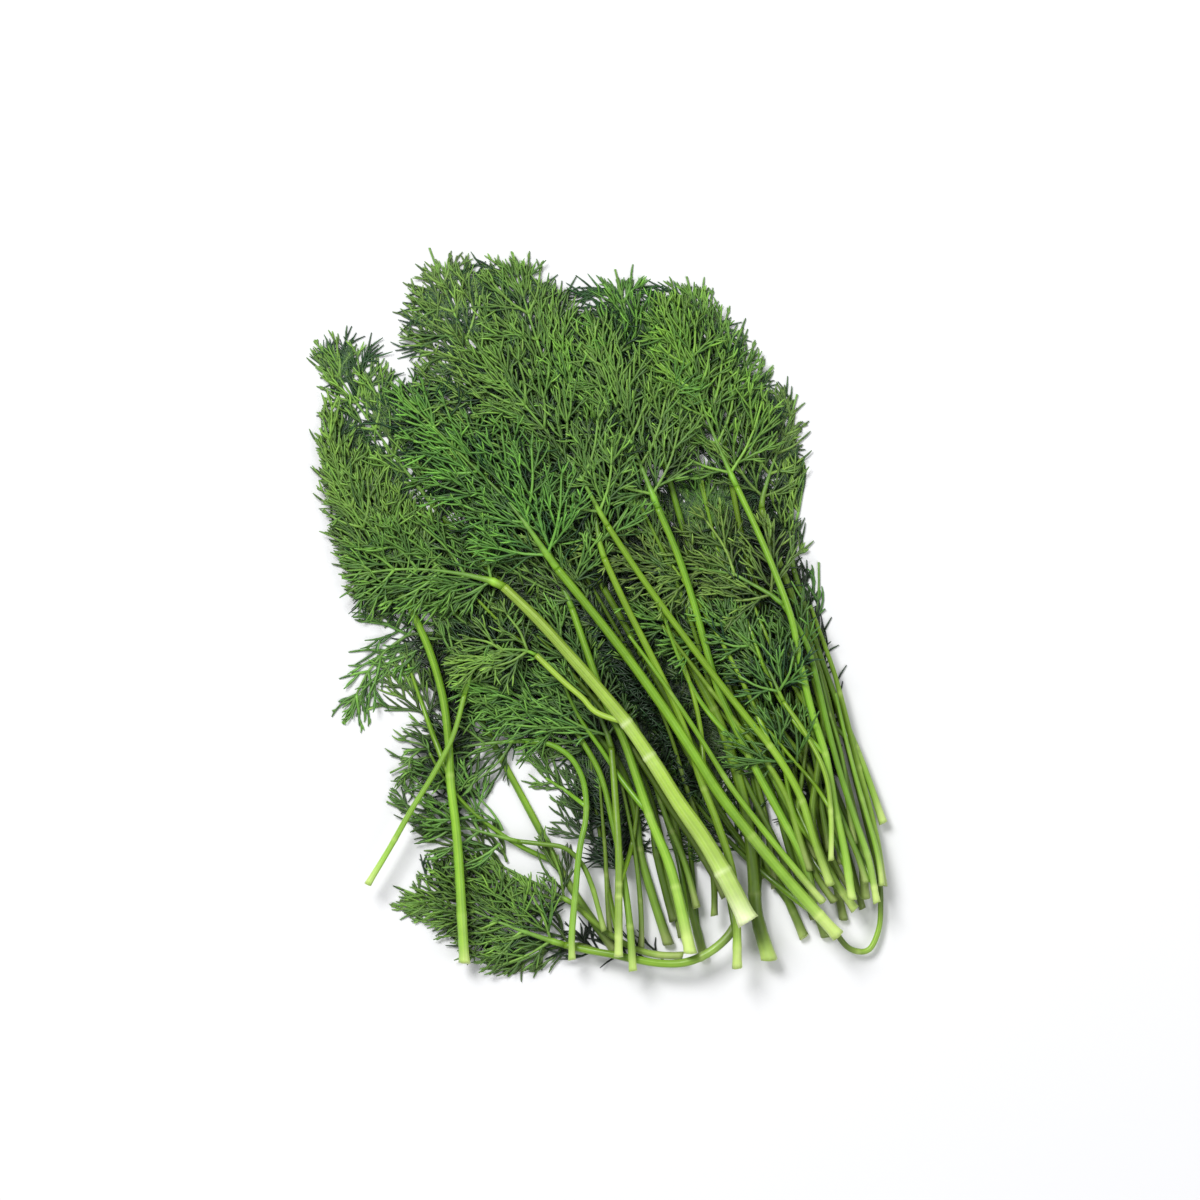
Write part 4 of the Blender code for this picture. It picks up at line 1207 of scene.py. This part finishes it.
class DILL_OT_fronds(bpy.types.Operator):
    """Replace the solids of the fronds with feathery fronds of forked threads"""

    bl_idname = "dill.fronds"
    bl_label = "Dress the fronds"

    def execute(self, context):
        sizes, colours = settings()
        material = frond_material()
        plans = {
            name: (frond_route, stalk_route[-2], reach, pairs, neck)
            for name, (stalk_route, frond_route, _, neck, reach, pairs) in SPRIGS.items()}
        plans["side_branch"] = (BRANCH_FROND, BRANCH_ROUTE[-2], BRANCH_REACH, BRANCH_PAIRS, BRANCH_NECK)
        for name, plan in plans.items():
            solid = "frond_" + name
            axis, leaves = frond_leaves(solid, *plan)
            if not leaves:
                raise RuntimeError(solid + ": no side leaf of the solid was found")
            green, _, _ = stalk_colours(name, colours)
            foliage = Foliage(solid, sizes, (colours.leaf, colours.tip, green))
            lies_open = name in OPEN_FRONDS
            if lies_open:
                foliage.gaps = OPEN_GAPS
                foliage.curl = OPEN_CURL
            dress_frond(foliage, axis, leaves, plan[-1], lies_open)
            if name in SPRIGS:
                line, _ = stalk_line(name)
                for _, leaf_line, light, under in leaf_stalks_of(name, line):
                    # Painted shade: a low spray gets a darker tint and a green nearer that of a full-grown
                    # leaf.
                    grow_spray(foliage, leaf_line, 0.25 * light, light, under)
                if not lies_open:
                    foliage.under = LOW_DEPTH
                    upper = Rib(smooth_line(line, 60)[22:])
                    foliage.dark_shade_threads([upper], int(upper.length * DARK_BY_STALK), STALK_SINK)
            mesh = foliage.mesh(name + "_threads")
            place_piece(name + "_frond", mesh, material, solid)
        return {"FINISHED"}


def dress_frond(foliage, axis, leaves, neck_width, lies_open):
    """The axis of a frond, its side leaves, the shoots between them and the dark threads of painted shade
    below.
    """
    chance = foliage.chance
    thick = foliage.sizes.thread / MM
    ahead = axis[1] - axis[0]
    axis = np.vstack([axis[0] - ahead / np.linalg.norm(ahead) * 0.4, axis])
    count = max(12, int(line_length(axis) / 1.6))
    spine = smooth_line(axis, count)
    share = np.linspace(0, 1, count)
    radii = thick * 0.5 + (neck_width - thick) / 2 * (1 - share) ** 3.5
    green = foliage.stalk + (foliage.tip - foliage.stalk) * np.clip(share * 4.5, 0, 1)[:, None]
    for place, _, _ in leaves:
        radii = radii * (1 + 0.1 * np.exp(-(((share - place) / 0.012) ** 2)))
        green = green * (1 + 0.25 * np.exp(-(((share - place) / 0.010) ** 2)))[:, None]
    foliage.forward = Vector(spine[-1] - spine[count // 3]).normalized()
    foliage.rib_line(spine, radii, green, 10)
    ribs = [Rib(spine)]
    for _, _, line in leaves:
        count = max(6, int(line_length(line) / 1.8))
        rib = smooth_line(line, count) if len(line) > 2 else along_line(line, count)
        tones = foliage.tint(0.9) * np.linspace(1.3, 1.1, count)[:, None]
        inner = [point for point in rib if CANOPY.covers(point)]
        if len(inner) < 3:
            continue
        rib, tones = np.array(inner), tones[:len(inner)]
        foliage.rib_line(rib, np.linspace(thick * 0.75, thick * 0.5, len(rib)), tones, 6)
        ribs.append(Rib(rib))
        foliage.side_leaf(ribs[-1])
    for at in np.linspace(0.2, 0.98, max(5, int(ribs[0].length / 7))):
        for hand in (1, -1):
            if at < 0.8 and chance.random() < 0.3:
                continue
            length = min(foliage.sizes.shoot / MM * (1.1 - 0.3 * at), ribs[0].length * (1 - at) + 3.5)
            length = length * chance.uniform(0.8, 1.1)
            foliage.pinnule(
                ribs[0], at, hand, length, thick, 0.2 + 0.4 * at, 1,
                math.radians(chance.uniform(34, 50) * (1.15 - 0.5 * at)))
    if not lies_open:
        foliage.dark_shade_threads(ribs, int(ribs[0].length * DARK_IN_FROND), FROND_SINK)


class DILL_OT_stage(bpy.types.Operator):
    """Add the pale floor, the soft lights and the camera above"""

    bl_idname = "dill.stage"
    bl_label = "Set the stage"

    def execute(self, context):
        _, colours = settings()
        scene = context.scene
        bpy.ops.mesh.primitive_plane_add(size=6, location=(0, 0, 0))
        floor = context.active_object
        floor.name = "floor"
        floor.data.materials.append(floor_material(tuple(colours.floor)))
        for name, place, size, power in (
                ("key", (-0.7, 0.9, 1.5), 0.7, 34),
                ("fill", (1.1, -0.6, 1.4), 1.2, 10)):
            light = bpy.data.lights.new(name, "AREA")
            light.size = size
            light.energy = power
            lamp = bpy.data.objects.new(name, light)
            lamp.location = place
            lamp.rotation_euler = (Vector((0, 0, 0)) - Vector(place)).to_track_quat("-Z", "Y").to_euler()
            scene.collection.objects.link(lamp)
        world = bpy.data.worlds.new("studio")
        world.use_nodes = True
        world.node_tree.nodes["Background"].inputs["Color"].default_value = (0.97, 0.98, 1.0, 1)
        world.node_tree.nodes["Background"].inputs["Strength"].default_value = 0.42
        scene.world = world
        scene.view_settings.view_transform = "Standard"
        camera_data = bpy.data.cameras.new("camera")
        camera_data.sensor_width = 36
        camera_data.lens = 36 * CAMERA_HEIGHT / (VIEW_WIDTH * MM)
        camera = bpy.data.objects.new("camera", camera_data)
        camera.location = (VIEW_CENTRE[0] * MM, VIEW_CENTRE[1] * MM, CAMERA_HEIGHT)
        scene.collection.objects.link(camera)
        scene.camera = camera
        return {"FINISHED"}


class DILL_PT_panel(bpy.types.Panel):
    """The sidebar panel of the dill bunch"""

    bl_idname = "DILL_PT_panel"
    bl_label = "Dill bunch"
    bl_space_type = "VIEW_3D"
    bl_region_type = "UI"
    bl_category = "Dill"

    def draw(self, context):
        sizes, colours = settings()
        for group in (sizes, colours):
            for name in group.bl_rna.properties.keys():
                if name not in ("rna_type", "name"):
                    self.layout.prop(group, name)
        for operator in OPERATORS:
            self.layout.operator(operator.bl_idname)


OPERATORS = (DILL_OT_stage, DILL_OT_stalks, DILL_OT_thick_stem, DILL_OT_fronds)
CLASSES = (DillSizes, DillColours, *OPERATORS, DILL_PT_panel)


def register():
    for item in CLASSES:
        bpy.utils.register_class(item)
    bpy.types.Scene.dill_sizes = bpy.props.PointerProperty(type=DillSizes)
    bpy.types.Scene.dill_colours = bpy.props.PointerProperty(type=DillColours)


def unregister():
    del bpy.types.Scene.dill_colours
    del bpy.types.Scene.dill_sizes
    for item in reversed(CLASSES):
        bpy.utils.unregister_class(item)


def main():
    register()
    bpy.ops.dill.stage()
    bpy.ops.dill.stalks()
    bpy.ops.dill.thick_stem()
    bpy.ops.dill.fronds()


if __name__ == "__main__":
    main()
